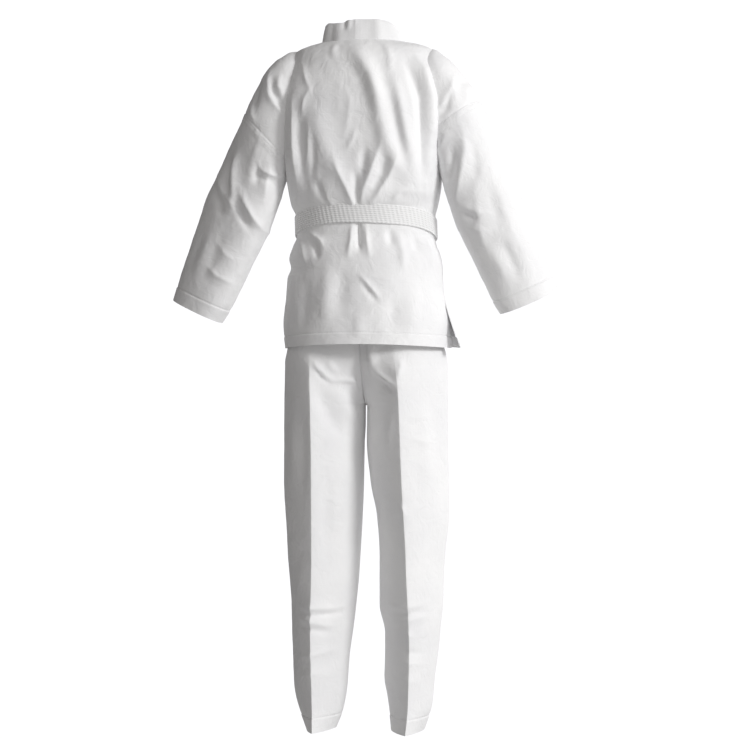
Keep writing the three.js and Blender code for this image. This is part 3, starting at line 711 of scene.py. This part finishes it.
# for each arm: how long it hangs, how far its outer side rolls forward, the armhole seam down and
# across the arm, how much lower the back of the cuff hangs, and degrees from the vertical
arms = {
    1: {"name": "left", "length": 503, "roll": 0.40, "seam": (126, -0.44), "cuffDrop": 0,
        "turn": [(-60, 21), (0, 21.5), (120, 22), (260, 23), (520, 24)]},
    -1: {"name": "right", "length": 480, "roll": 0.10, "seam": (92, -0.27), "cuffDrop": 9,
         "turn": [(-60, 20), (0, 20.5), (120, 21), (260, 22.5), (520, 23)]},
}
armOuter = {1: [(-60, 4), (-52, 21), (-37, 32), (-24, 42), (6, 53), (26, 58), (105, 66), (180, 75), (235, 78),
                (275, 82), (310, 79), (391, 72), (440, 68), (503, 60)],
            -1: [(-60, 4), (-52, 15), (-37, 24), (-24, 32), (6, 44), (26, 50), (60, 57), (105, 62), (180, 63),
                 (252, 64), (320, 64), (391, 63), (480, 59)]}
armInner = [(-60, 4), (-30, 30), (0, 46), (30, 54), (105, 62), (180, 66), (235, 72), (285, 75), (330, 73),
            (391, 69), (450, 66), (503, 58)]
armDepth = [(-60, 8), (-48, 40), (-30, 60), (0, 72), (30, 76), (105, 74), (180, 67), (252, 63), (391, 60),
            (503, 56)]


def armSurface(side, folds, s):  # s is how far down the arm each row lies
    arm = arms[side]
    down = np.arange(-60, 521, 1.0)
    angle = np.radians(follow(arm["turn"], down))
    lean = math.radians(21.5)
    cx = shoulder[0] + np.concatenate([[0], np.cumsum(np.sin(angle[:-1]))]) - math.sin(lean) * 60
    cz = shoulder[1] - np.concatenate([[0], np.cumsum(np.cos(angle[:-1]))]) + math.cos(lean) * 60
    phi = np.linspace(0, 2 * math.pi, sleeve["columns"], endpoint=False)
    tilt = np.interp(s, down, angle)[:, None]
    wide = np.where(np.cos(phi) > 0, follow(armOuter[side], s)[:, None], follow(armInner, s)[:, None])
    deep = follow(armDepth, s)[:, None]
    lx = wide * np.sign(np.cos(phi)) * np.abs(np.cos(phi)) ** 0.88  # phi is 0 outside, a quarter turn behind
    y = deep * np.sign(np.sin(phi)) * np.abs(np.sin(phi)) ** 0.86
    y = y - arm["roll"] * lx * smooth((s[:, None] - 40) / 150)  # the outer side hangs forward
    x = np.interp(s, down, cx)[:, None] + lx * np.cos(tilt)
    z = np.interp(s, down, cz)[:, None] + lx * np.sin(tilt)
    hang = arm["cuffDrop"] * np.sin(phi) * smooth((s[:, None] - 380) / 100)  # the cuff's back hangs lower
    x, z = x + hang * np.sin(tilt), z - hang * np.cos(tilt)
    points = np.stack([side * x, y + 0 * x, z], -1)
    outward = np.stack([side * np.cos(phi) * np.cos(tilt), np.sin(phi) + 0 * tilt,
                        np.cos(phi) * np.sin(tilt)], -1)
    outward /= np.linalg.norm(outward, axis=2, keepdims=True)
    isBack = np.sin(phi)[None, :] > -0.25
    across, along = lx + 0 * s[:, None], s[:, None] + 0 * lx
    lift = np.where(isBack, foldLift(folds["back"], across, along), foldLift(folds["front"], across, along))
    lift += 1.2 * ripple(points, 42, 6 + side) + 0.5 * ripple(points, 16, 8 + side)
    start, slope = arm["seam"]
    past = along - start - slope * across  # how far beyond the armhole seam
    wide = sleeve["seamWidth"]
    lift += 0.7 * smooth((past + 2.5) / 2.5) * smooth((wide + 2 - past) / 3)
    lift -= np.exp(-((past + 3) / 1.6) ** 2)
    lift -= 0.6 * np.exp(-((past - 2) / 1.3) ** 2) + 0.6 * np.exp(-((past - wide + 2) / 1.3) ** 2)
    lift += 0.8 * np.exp(-((past - 7) / 12) ** 2) * ripple(points, 9, 30)  # puckers beside the seam
    cuff = along - (arm["length"] - sleeve["cuff"])
    lift += hemLift(cuff, sleeve["cuffThickness"])
    return points + outward * lift[..., None], outward, past, cuff


# across the arm (outer side positive) and down it from the shoulder point
leftSleeveFolds = {
    "back": [
        ("crisp", 6.5, 8, [(44, -22), (34, 10), (16, 44), (-8, 62), (-40, 82)]),
        ("soft", -6, 7, [(30, 0), (16, 34), (-6, 52), (-34, 66)]),
        ("crisp", 5.5, 7, [(14, -10), (4, 22), (-18, 46)]),
        ("soft", -4.5, 7, [(56, 10), (44, 60), (36, 100)]),
        ("crisp", 4.5, 8, [(50, 60), (40, 92), (20, 112)]),
        ("crisp", 10, 10, [(46, 150), (38, 206), (18, 250), (-4, 300)]),
        ("soft", -7, 9, [(56, 180), (40, 234), (16, 284)]),
        ("crisp", 4, 10, [(6, 120), (0, 186), (-12, 250)]),
        ("crisp", 9, 8, [(20, 226), (-14, 260), (-44, 284), (-90, 310)]),
        ("soft", -8, 8, [(16, 268), (-20, 286), (-60, 314)]),
        ("crisp", 7, 8, [(84, 226), (44, 254), (8, 276), (-30, 296)]),
        ("soft", -6, 9, [(72, 256), (42, 278), (12, 306)]),
        ("crisp", 7, 5, [(-6, 170), (-21, 190), (-46, 190), (-74, 182)]),
        ("soft", -4, 6, [(-14, 204), (-40, 204), (-66, 196)]),
        ("crisp", 5, 8, [(-34, 160), (-40, 200), (-54, 260)]),
        ("soft", -5, 7, [(-14, 170), (-26, 226)]),
        ("crisp", 2.6, 12, [(34, 316), (26, 390), (28, 470)]),
        ("soft", -2.6, 12, [(6, 310), (0, 390), (8, 460)]),
        ("crisp", 4, 9, [(-54, 374), (-20, 372), (18, 350)]),
        ("crisp", 5, 7, [(20, 404), (-20, 418), (-70, 420)]),
        ("soft", -3.5, 9, [(48, 340), (44, 440)]),
    ],
    "front": [
        ("crisp", 8, 10, [(-50, 226), (-10, 258), (50, 266)]),
        ("crisp", 7, 9, [(-52, 270), (-14, 292), (46, 296)]),
        ("soft", -6, 8, [(-40, 248), (20, 280)]),
        ("crisp", 5, 8, [(-54, 180), (-10, 216), (40, 232)]),
        ("crisp", 5, 10, [(14, 40), (0, 140), (10, 210)]),
        ("soft", -4.5, 9, [(-12, 60), (-20, 180)]),
        ("crisp", 4.5, 12, [(-10, 330), (6, 460)]),
        ("soft", -4, 10, [(16, 330), (24, 450)]),
    ],
}
rightSleeveFolds = {
    "back": [
        ("crisp", 5.5, 7, [(40, 0), (24, 34), (0, 58), (-34, 74)]),
        ("soft", -5.5, 7, [(24, 30), (0, 70), (-30, 84)]),
        ("soft", 4, 8, [(50, 30), (42, 80)]),
        ("crisp", 8, 10, [(20, 90), (4, 160), (-20, 200), (-48, 240), (-70, 280)]),
        ("soft", -6, 9, [(-10, 130), (-30, 176), (-60, 220)]),
        ("crisp", 4, 8, [(-8, 112), (-34, 132), (-60, 150)]),
        ("soft", -3, 9, [(24, 140), (10, 196), (-8, 240)]),
        ("crisp", 4, 12, [(14, 190), (-10, 250), (-30, 330), (-34, 420)]),
        ("soft", -3, 11, [(24, 220), (12, 290), (14, 340)]),
        ("crisp", 2.5, 14, [(34, 240), (28, 340), (36, 450)]),
        ("crisp", 4, 12, [(-24, 340), (-18, 450)]),
        ("soft", -4, 10, [(0, 340), (6, 440)]),
        ("crisp", 5, 8, [(-58, 246), (-26, 280), (10, 300)]),
        ("soft", -4.5, 8, [(-56, 262), (-20, 300)]),
        ("crisp", 4, 8, [(-58, 300), (-24, 322), (0, 330)]),
    ],
    "front": leftSleeveFolds["front"],
}


def levelLine(surface, outward, height, target):  # the line round a surface where height passes target
    crossing = np.argmax(height > target, axis=0)
    good = (crossing > 0) & (height.max(axis=0) > target)
    columns = np.arange(surface.shape[1])
    upper, lower = np.maximum(crossing - 1, 0), crossing
    gap = height[lower, columns] - height[upper, columns]
    t = ((target - height[upper, columns]) / np.where(gap == 0, 1, gap))[:, None]
    line = surface[upper, columns] * (1 - t) + surface[lower, columns] * t
    return line[good], outward[upper, columns][good]


def closeLine(line):
    return tuple(np.concatenate([part, part[:1]]) for part in line)


def makeSleeves():
    for side, folds in ((1, leftSleeveFolds), (-1, rightSleeveFolds)):
        arm = arms[side]
        name = arm["name"]
        rows = np.concatenate([np.arange(-58, 60, sleeve["rowStep"]),
                               np.arange(60, sleeve["division"] + 0.1, sleeve["seamStep"])])
        top, topOut, past, cuff = armSurface(side, folds, rows)
        cap = clothMesh(f"{name}Shoulder", top[:, ::side], clothMaterial, sleeve["thickness"], closed=True)
        bendShoulder(cap)
        lines = [closeLine(levelLine(top, topOut, past, at)) for at in (2, sleeve["seamWidth"] - 2)]
        bendShoulder(sewLine(f"{name}ArmholeStitches", lines))
        end = arm["length"]
        rows = np.concatenate([np.arange(rows[-1], end - 34, sleeve["rowStep"]),
                               np.arange(end - 34, end + 0.1, sleeve["fineStep"])])
        lower, lowerOut, past, cuff = armSurface(side, folds, rows)
        tube = clothMesh(f"{name}Sleeve", lower[:, ::side], clothMaterial, sleeve["thickness"], closed=True)
        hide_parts(f"{name}_upper_sleeve", f"{name}_forearm_sleeve", f"{name}_cuff_hem")
        bendElbow(tube)
        stitches = sewLine(f"{name}CuffStitches", [closeLine(levelLine(lower, lowerOut, cuff, 0))])
        bendElbow(stitches)


makeSleeves()
print("sleeves made")

# ---- trousers

trousers = {
    "columns": 96,
    "rowStep": 3.4,
    "fineStep": 1.1,
    "top": -430,
    "split": -872,  # where the upper piece hands over to the lower
    "end": -1370,
    "hem": 30,
    "hemThickness": 0.8,
    "thickness": 0.9,
}
# level, and where the leg's middle line, outer and inner sides, back and front creases lie
legCentre = {
    1: [(-430, 66), (-560, 78), (-612, 82), (-874, 83), (-1034, 84), (-1194, 89), (-1370, 90)],
    -1: [(-430, 66), (-560, 78), (-612, 82), (-874, 88), (-1034, 93), (-1194, 93), (-1320, 90),
         (-1370, 86)],
}
legOut = {
    1: [(-430, 52), (-500, 62), (-560, 68), (-600, 71), (-618, 76), (-640, 81), (-794, 84), (-874, 84),
        (-946, 80), (-1034, 74), (-1122, 64), (-1194, 60), (-1280, 56), (-1310, 51), (-1345, 39),
        (-1370, 28)],
    -1: [(-430, 52), (-500, 62), (-560, 68), (-600, 73), (-618, 78), (-640, 82), (-700, 81), (-874, 79),
         (-930, 78), (-1034, 66), (-1122, 62), (-1194, 55), (-1280, 46), (-1320, 44), (-1345, 38),
         (-1370, 31)],
}
legIn = {
    1: [(-722, 82), (-760, 82), (-800, 80), (-874, 79), (-1034, 72), (-1122, 67), (-1168, 63),
        (-1222, 56), (-1294, 50), (-1330, 44), (-1370, 28)],
    -1: [(-722, 82), (-760, 83), (-800, 84), (-874, 78), (-936, 68), (-1034, 65), (-1122, 65),
         (-1178, 54), (-1262, 54), (-1302, 47), (-1340, 40), (-1370, 34)],
}
legBack = [(-430, 76), (-500, 88), (-560, 93), (-604, 97), (-640, 104), (-700, 108), (-800, 108),
           (-990, 103), (-1200, 98), (-1310, 97), (-1370, 103)]
legFront = [(-430, 76), (-500, 88), (-560, 93), (-604, 97), (-640, 104), (-700, 106), (-800, 108),
            (-990, 106), (-1200, 98), (-1310, 97), (-1370, 102)]
pressing = [(-430, 0), (-590, 0.1), (-650, 0.85), (-720, 1), (-1370, 1)]  # how sharply the leg is pressed
creaseShift = {
    1: [(-430, 6), (-600, 12), (-664, 12), (-734, 10), (-860, 8), (-1100, 7), (-1370, 0)],
    -1: [(-430, -6), (-600, -10), (-700, -2), (-860, 1), (-1034, 4), (-1200, 10), (-1370, 10)],
}
crotch = {"level": -722, "start": -500}


def seatSeam(z):  # how far out of the middle the seat's seam lies, as a share of the seat's depth
    rise = np.clip((z - crotch["level"]) / (crotch["start"] - crotch["level"]), 0, 1)
    return 0.96 * (1 - (1 - rise) ** 1.7) ** 0.72


def legSurface(side, first, last, folds):
    z = np.arange(first, last, -trousers["rowStep"])
    if last == trousers["end"]:
        z = np.concatenate([z[z > last + 36], np.arange(last + 36, last, -trousers["fineStep"])])
    z = np.append(z, last)[:, None]
    count = trousers["columns"]
    t = np.linspace(0, 1, count // 4 + 1)
    # round the leg from the inseam over the back, the outer side and the front to the inseam
    turn = np.concatenate([t[:-1], 1 + t[:-1], 2 + t[:-1], 3 + t])
    quarter = np.minimum(turn.astype(int), 3)
    u = turn - quarter
    u = np.where((quarter == 0) | (quarter == 2), u, 1 - u)  # nought at the sides and one at a crease
    u = np.sin(u * math.pi / 2) ** 1.1
    press = follow(pressing, z)
    k = 2.1 - 0.45 * press
    m = 2.0 - 0.85 * press
    reach = np.maximum(1 - u ** k, 0) ** (1 / m)
    centre, shift = follow(legCentre[side], z), follow(creaseShift[side], z)
    out = follow(legOut[side], z)
    inn = np.where(z > crotch["level"], centre, follow(legIn[side], z))
    inn = np.minimum(inn, centre)
    isBack = (quarter < 2)[None, :]
    isOuter = ((quarter == 1) | (quarter == 2))[None, :]
    depth = np.where(isBack, follow(legBack, z), follow(legFront, z))
    x = centre + shift * u ** 1.5 * np.where(isBack, 1, 0.4) + np.where(isOuter, out, -inn) * reach
    y = depth * u * np.where(isBack, 1, -1)
    # above the crotch the inner side opens into the seat's middle seam
    seam = depth * seatSeam(z)
    spread = 2.4 - 1.4 * smooth((z - crotch["level"]) / 90)  # near the crotch only the seam itself moves
    y = np.where(isOuter, y, np.where(isBack, 1, -1) * (depth * u + seam * (1 - u) ** spread))
    points = np.stack([side * x, y + 0 * x, z + 0 * x], -1)
    towards = np.stack([side * (x - centre), y * 0.8, 0 * x], -1)
    outward = towards / np.maximum(np.linalg.norm(towards, axis=2, keepdims=True), 1e-6)
    across, along = x - centre, z + 0 * x
    lift = np.where(isBack, foldLift(folds["back"], across, along), foldLift(folds["front"], across, along))
    lift += 0.9 * ripple(points, 50, 12 + side) + 0.3 * ripple(points, 18, 15 + side)
    ends = np.minimum(turn, 4 - turn)[None, :]
    lift *= smooth(ends / 0.12)
    hem = trousers["end"] + trousers["hem"] - z
    lift = lift + hemLift(hem, trousers["hemThickness"])
    return points + outward * lift[..., None], outward, hem + 0 * x


leftLegFolds = {
    "back": [
        ("crisp", 4.5, 7, [(-64, -1118), (-30, -1126), (0, -1124), (50, -1120)]),
        ("soft", -4, 6, [(-60, -1134), (0, -1138), (46, -1130)]),
        ("crisp", 4.5, 7, [(-46, -1164), (10, -1150), (52, -1140)]),
        ("soft", -3.5, 6, [(-40, -1176), (10, -1164), (46, -1156)]),
        ("crisp", 4, 7, [(-50, -1204), (-10, -1214), (48, -1226)]),
        ("crisp", 3, 8, [(-40, -1262), (0, -1254), (40, -1262)]),
        ("crisp", 8, 5.5, [(10, -630), (-4, -650), (-18, -668), (-42, -684)]),
        ("soft", -5, 5, [(2, -650), (-12, -668), (-30, -684)]),
        ("crisp", 5, 5, [(-22, -630), (-30, -650), (-42, -664)]),
        ("crisp", 6, 4.5, [(-26, -676), (-50, -674), (-78, -676)]),
        ("crisp", 5, 4.5, [(-58, -656), (-68, -680), (-78, -716)]),
        ("soft", -7, 13, [(2, -660), (-12, -720), (-32, -764), (-66, -796)]),
        ("soft", 6, 13, [(-34, -676), (-48, -724), (-66, -764)]),
        ("soft", 3.5, 12, [(50, -680), (52, -900)]),
        ("soft", -3, 11, [(26, -720), (28, -940)]),
        ("soft", 3, 14, [(-40, -780), (-36, -980)]),
        ("soft", -2.6, 10, [(-20, -860), (-18, -1060)]),
        ("crisp", 3, 8, [(60, -980), (34, -1000), (12, -1004)]),
        ("soft", 3, 12, [(30, -1020), (30, -1100)]),
    ],
    "front": [
        ("crisp", 4.5, 7, [(-50, -1100), (0, -1118), (50, -1108)]),
        ("crisp", 4, 7, [(-40, -1150), (0, -1158), (46, -1150)]),
        ("crisp", 4.5, 8, [(64, -640), (20, -668), (-60, -704)]),
        ("crisp", 4, 8, [(64, -676), (20, -700), (-60, -730)]),
        ("soft", -4, 8, [(60, -660), (-50, -722)]),
        ("soft", 3.5, 12, [(-40, -800), (-36, -1000)]),
        ("soft", 3.5, 12, [(44, -760), (44, -1000)]),
    ],
}
rightLegFolds = {
    "back": [
        ("crisp", 4.5, 7, [(-60, -1112), (-20, -1120), (10, -1118), (50, -1112)]),
        ("soft", -4, 6, [(-54, -1128), (0, -1134), (46, -1126)]),
        ("crisp", 4.5, 7, [(-44, -1160), (8, -1144), (50, -1136)]),
        ("crisp", 4.5, 5, [(2, -1160), (10, -1174), (4, -1184)]),
        ("crisp", 4, 7, [(-46, -1212), (0, -1228), (44, -1234)]),
        ("soft", -3.5, 6, [(-40, -1196), (0, -1206), (40, -1210)]),
        ("crisp", 3, 8, [(-36, -1270), (0, -1262), (34, -1268)]),
        ("crisp", 4, 5, [(-10, -912), (4, -930), (2, -950)]),
        ("soft open", 9, 11, [(-54, -590), (-54, -640), (-46, -676)]),
        ("soft open", -6, 10, [(-72, -590), (-72, -640), (-70, -690)]),
        ("crisp", 7, 5, [(-54, -650), (-38, -664), (-22, -677), (-2, -688)]),
        ("soft", -6, 6, [(-44, -672), (-26, -688), (-6, -704)]),
        ("crisp", 5, 5, [(-4, -626), (4, -644), (-2, -676)]),
        ("soft", -4, 10, [(-56, -700), (-48, -760), (-60, -820)]),
        ("soft", 4, 11, [(-14, -720), (-28, -780), (-46, -860)]),
        ("soft", 3.5, 12, [(46, -700), (50, -920)]),
        ("soft", -3, 12, [(-40, -760), (-44, -900)]),
        ("soft", 3, 12, [(-62, -800), (-60, -960)]),
        ("crisp", 2.6, 8, [(60, -740), (30, -748), (10, -744)]),
        ("crisp", 2.6, 8, [(60, -800), (30, -790), (10, -794)]),
    ],
    "front": leftLegFolds["front"],
}


def makeTrousers():
    for name, side, folds in (("left", 1, leftLegFolds), ("right", -1, rightLegFolds)):
        upper = legSurface(side, trousers["top"], trousers["split"], folds)[0]
        thigh = clothMesh(f"{name}TrouserUpper", upper[:, ::-side], clothMaterial, trousers["thickness"])
        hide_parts(f"{name}_thigh_front", f"{name}_thigh_back")
        bendHip(thigh)
        lower, lowerOut, hem = legSurface(side, trousers["split"], trousers["end"], folds)
        shin = clothMesh(f"{name}TrouserLower", lower[:, ::-side], clothMaterial, trousers["thickness"])
        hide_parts(f"{name}_shin_front", f"{name}_shin_back", f"{name}_leg_hem")
        bendKnee(shin)
        stitches = sewLine(f"{name}LegHemStitches", [levelLine(lower, lowerOut, hem, 0)])
        bendKnee(stitches)
        if side == 1:
            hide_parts("seat_back", "seat_front")


gusset = {"halfWidth": 8, "top": -676, "bottom": -722, "reach": 106, "below": 1.5, "rows": 30}


def makeGusset():  # a strip that follows the seat's seam down the back, through the crotch and up the front
    rows, top, bottom = gusset["rows"], gusset["top"], gusset["bottom"]
    slope = np.linspace(top, bottom + 1, rows)
    level = np.concatenate([slope, np.full(3, bottom), slope[::-1]])
    end = np.concatenate([np.ones(rows), np.zeros(3), -np.ones(rows)])
    across = np.linspace(-gusset["halfWidth"], gusset["halfWidth"], 9)
    x = across[:, None] + 0 * level[None]
    y = (end * gusset["reach"] * seatSeam(level))[None] + 0 * x
    points = np.stack([x, y, level[None] - gusset["below"] - 0.06 * np.abs(x)], -1)
    patch = clothMesh("crotchGusset", points, bandMaterial, 1.0)
    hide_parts("crotch_gusset")
    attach(patch, "trousers")


makeTrousers()
makeGusset()
print("trousers made")

# ---- belt

belt = {
    "width": 37.5,
    "rows": 9,  # rows of stitching
    "columns": 46,
    "thickness": 2.6,
    "level": -371,
    "backSlope": 0.26,
    "frontSlope": 0.20,
    "halfWidth": 139,
    "halfDepth": 97,
    "ripple": 9,  # distance between the small waves across the belt
}


def quilted(across, along):  # relief of a belt with its rows of stitching drawn tight
    pitch = belt["width"] / belt["rows"]
    row = np.floor(across / pitch)
    rib = np.abs(np.sin(math.pi * across / pitch)) ** 0.6
    wave = np.sin(2 * math.pi * along / belt["ripple"] + 0.7 * row)
    return 0.7 * rib + 0.5 * rib * wave


def makeWrap(name, node, off, drop, sway):
    theta = np.linspace(0, 2 * math.pi, 400, endpoint=False)
    across = np.linspace(0, belt["width"], belt["columns"])
    a, b = belt["halfWidth"] + off, belt["halfDepth"] + off
    round_ = np.abs(np.sin(theta)) ** 0.96 * np.sign(np.sin(theta))
    x, y = a * round_, b * np.cos(theta)
    slope = np.where(y > 0, belt["backSlope"], belt["frontSlope"])
    z = belt["level"] - drop + belt["width"] / 2 + slope * y
    z = z + sway * np.sin(theta + 0.6) + 0.9 * np.sin(5 * theta)
    run = np.concatenate([[0], np.cumsum(np.hypot(np.diff(x), np.diff(y)))])
    out = np.stack([x / a ** 2, y / b ** 2, 0 * x], -1)
    out /= np.linalg.norm(out, axis=1, keepdims=True)
    points = np.stack([x, y, z], -1)[None] - across[:, None, None] * np.array([0, 0, 1])
    lean = 1.2 * np.sin(3 * theta + 1)[None] * (across[:, None] / 40 - 0.5)
    points = points + out[None] * (quilted(across[:, None], run[None]) + lean)[..., None]
    wrap = clothMesh(name, points[:, ::-1], beltMaterial, belt["thickness"], closed=True)
    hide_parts(node)
    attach(wrap, "jacket")
    return wrap


def strip(name, middle, sideways, outward, thickness):  # a length of belt along a line
    width = belt["width"]
    run = np.concatenate([[0], np.cumsum(np.linalg.norm(np.diff(middle, axis=0), axis=1))])
    across = np.linspace(0, width, belt["columns"])
    points = middle[None] + sideways[None] * (across - width / 2)[:, None, None]
    lift = quilted(across[:, None], run[None])
    end = smooth((run[-1] - run) / 2)[None]
    lift = lift * end + 0.7 * smooth((run - run[-1] + 14) / 2)[None] * end
    points = points + outward[None] * lift[..., None]
    return clothMesh(name, np.swapaxes(points, 0, 1), beltMaterial, thickness)


tails = {
    "length": 208,
    "splay": 17,  # degrees from the vertical
    "apart": 14,  # half the distance between them at the knot
    "rootDepth": -120,
    "layer": {1: 7, -1: 11},  # how far each hangs in front of the skirt
    "thickness": 3.2,
}


def makeTails():
    for side, name in ((1, "left"), (-1, "right")):
        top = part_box(f"{name}_belt_tail")[1][2] / mm - 4
        run = np.linspace(0, 1, 110)
        splay = math.radians(tails["splay"])
        x = side * (tails["apart"] + math.sin(splay) * tails["length"] * run + 4 * np.sin(run * 3))
        z = top - math.cos(splay) * tails["length"] * run
        skirt = frontDepthAt(x, np.minimum(z, -400)) - tails["layer"][side]
        fromKnot = smooth((run - 0.02) / 0.35)
        y = tails["rootDepth"] * (1 - fromKnot) + (skirt - 2 * np.sin(run * 7 + side)) * fromKnot
        middle = np.stack([x, y, z], -1)
        ahead = np.gradient(middle, axis=0)
        ahead /= np.linalg.norm(ahead, axis=1, keepdims=True)
        twist = 0.25 * side * np.sin(run * 4)
        sideways = np.stack([np.cos(twist) * ahead[:, 2] * -1, np.sin(twist), ahead[:, 0]], -1)
        sideways /= np.linalg.norm(sideways, axis=1, keepdims=True)
        outward = np.cross(sideways, ahead)
        outward *= -np.sign(outward[:, 1:2])
        tail = strip(f"{name}BeltTail", middle, sideways, outward, tails["thickness"])
        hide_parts(f"{name}_belt_tail")
        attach(tail, f"{name}_tail")


def boxed(share, power):  # a power that keeps the sign and makes a round shape squarer
    return np.sign(share) * np.abs(share) ** power


def makeKnot():
    low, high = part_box("belt_knot")
    centre = (np.array(low) + np.array(high)) / 2 / mm
    half = (np.array(high) - np.array(low)) / 2 / mm
    centre[1] = -belt["halfDepth"] - 4 - half[1] * 0.93  # pulled tight against the belt
    theta = np.linspace(0, 2 * math.pi, 130, endpoint=False)[None, :]
    phi = np.linspace(-math.pi / 2, math.pi / 2, 70)[::-1][:, None]
    x = half[0] * boxed(np.cos(phi), 0.55) * boxed(np.sin(theta), 0.7)
    y = half[1] * boxed(np.cos(phi), 0.55) * boxed(-np.cos(theta), 0.7)
    z = half[2] * boxed(np.sin(phi), 0.7) + 0 * theta
    x = x * (1 - 0.22 * (z / half[2]) ** 2)
    points = np.stack([x, y, z], -1)
    out = points / half ** 2
    out /= np.maximum(np.linalg.norm(out, axis=2, keepdims=True), 1e-9)
    # one turn of belt crosses over the others on a slant
    slant = z + 0.62 * x
    over = smooth((15 - np.abs(slant)) / 2.5)
    ribs = quilted((slant + 15) * 1.3, x * 1.1)
    under = quilted((z - 0.7 * x + 40) * 1.2, x * 1.1)
    lift = over * (2.2 + ribs) + (1 - over) * (under - 1.6)
    points = points * 0.93 + out * lift[..., None] + centre
    knot = clothMesh("beltKnot", points, beltMaterial, 0, closed=True)
    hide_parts("belt_knot")
    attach(knot, "jacket")


makeWrap("beltInnerWrap", "belt_inner_wrap", off=0.4, drop=1.2, sway=1.0)
makeWrap("beltOuterWrap", "belt_outer_wrap", off=3.8, drop=0, sway=0)
makeTails()
makeKnot()
print("belt made")

# ---- pieces kept from the frame

for node, material in (("waistband_casing", bandMaterial), ("waist_elastic", elasticMaterial)):
    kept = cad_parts[node]
    kept.data.materials.clear()
    kept.data.materials.append(material)
print("kept pieces dressed")
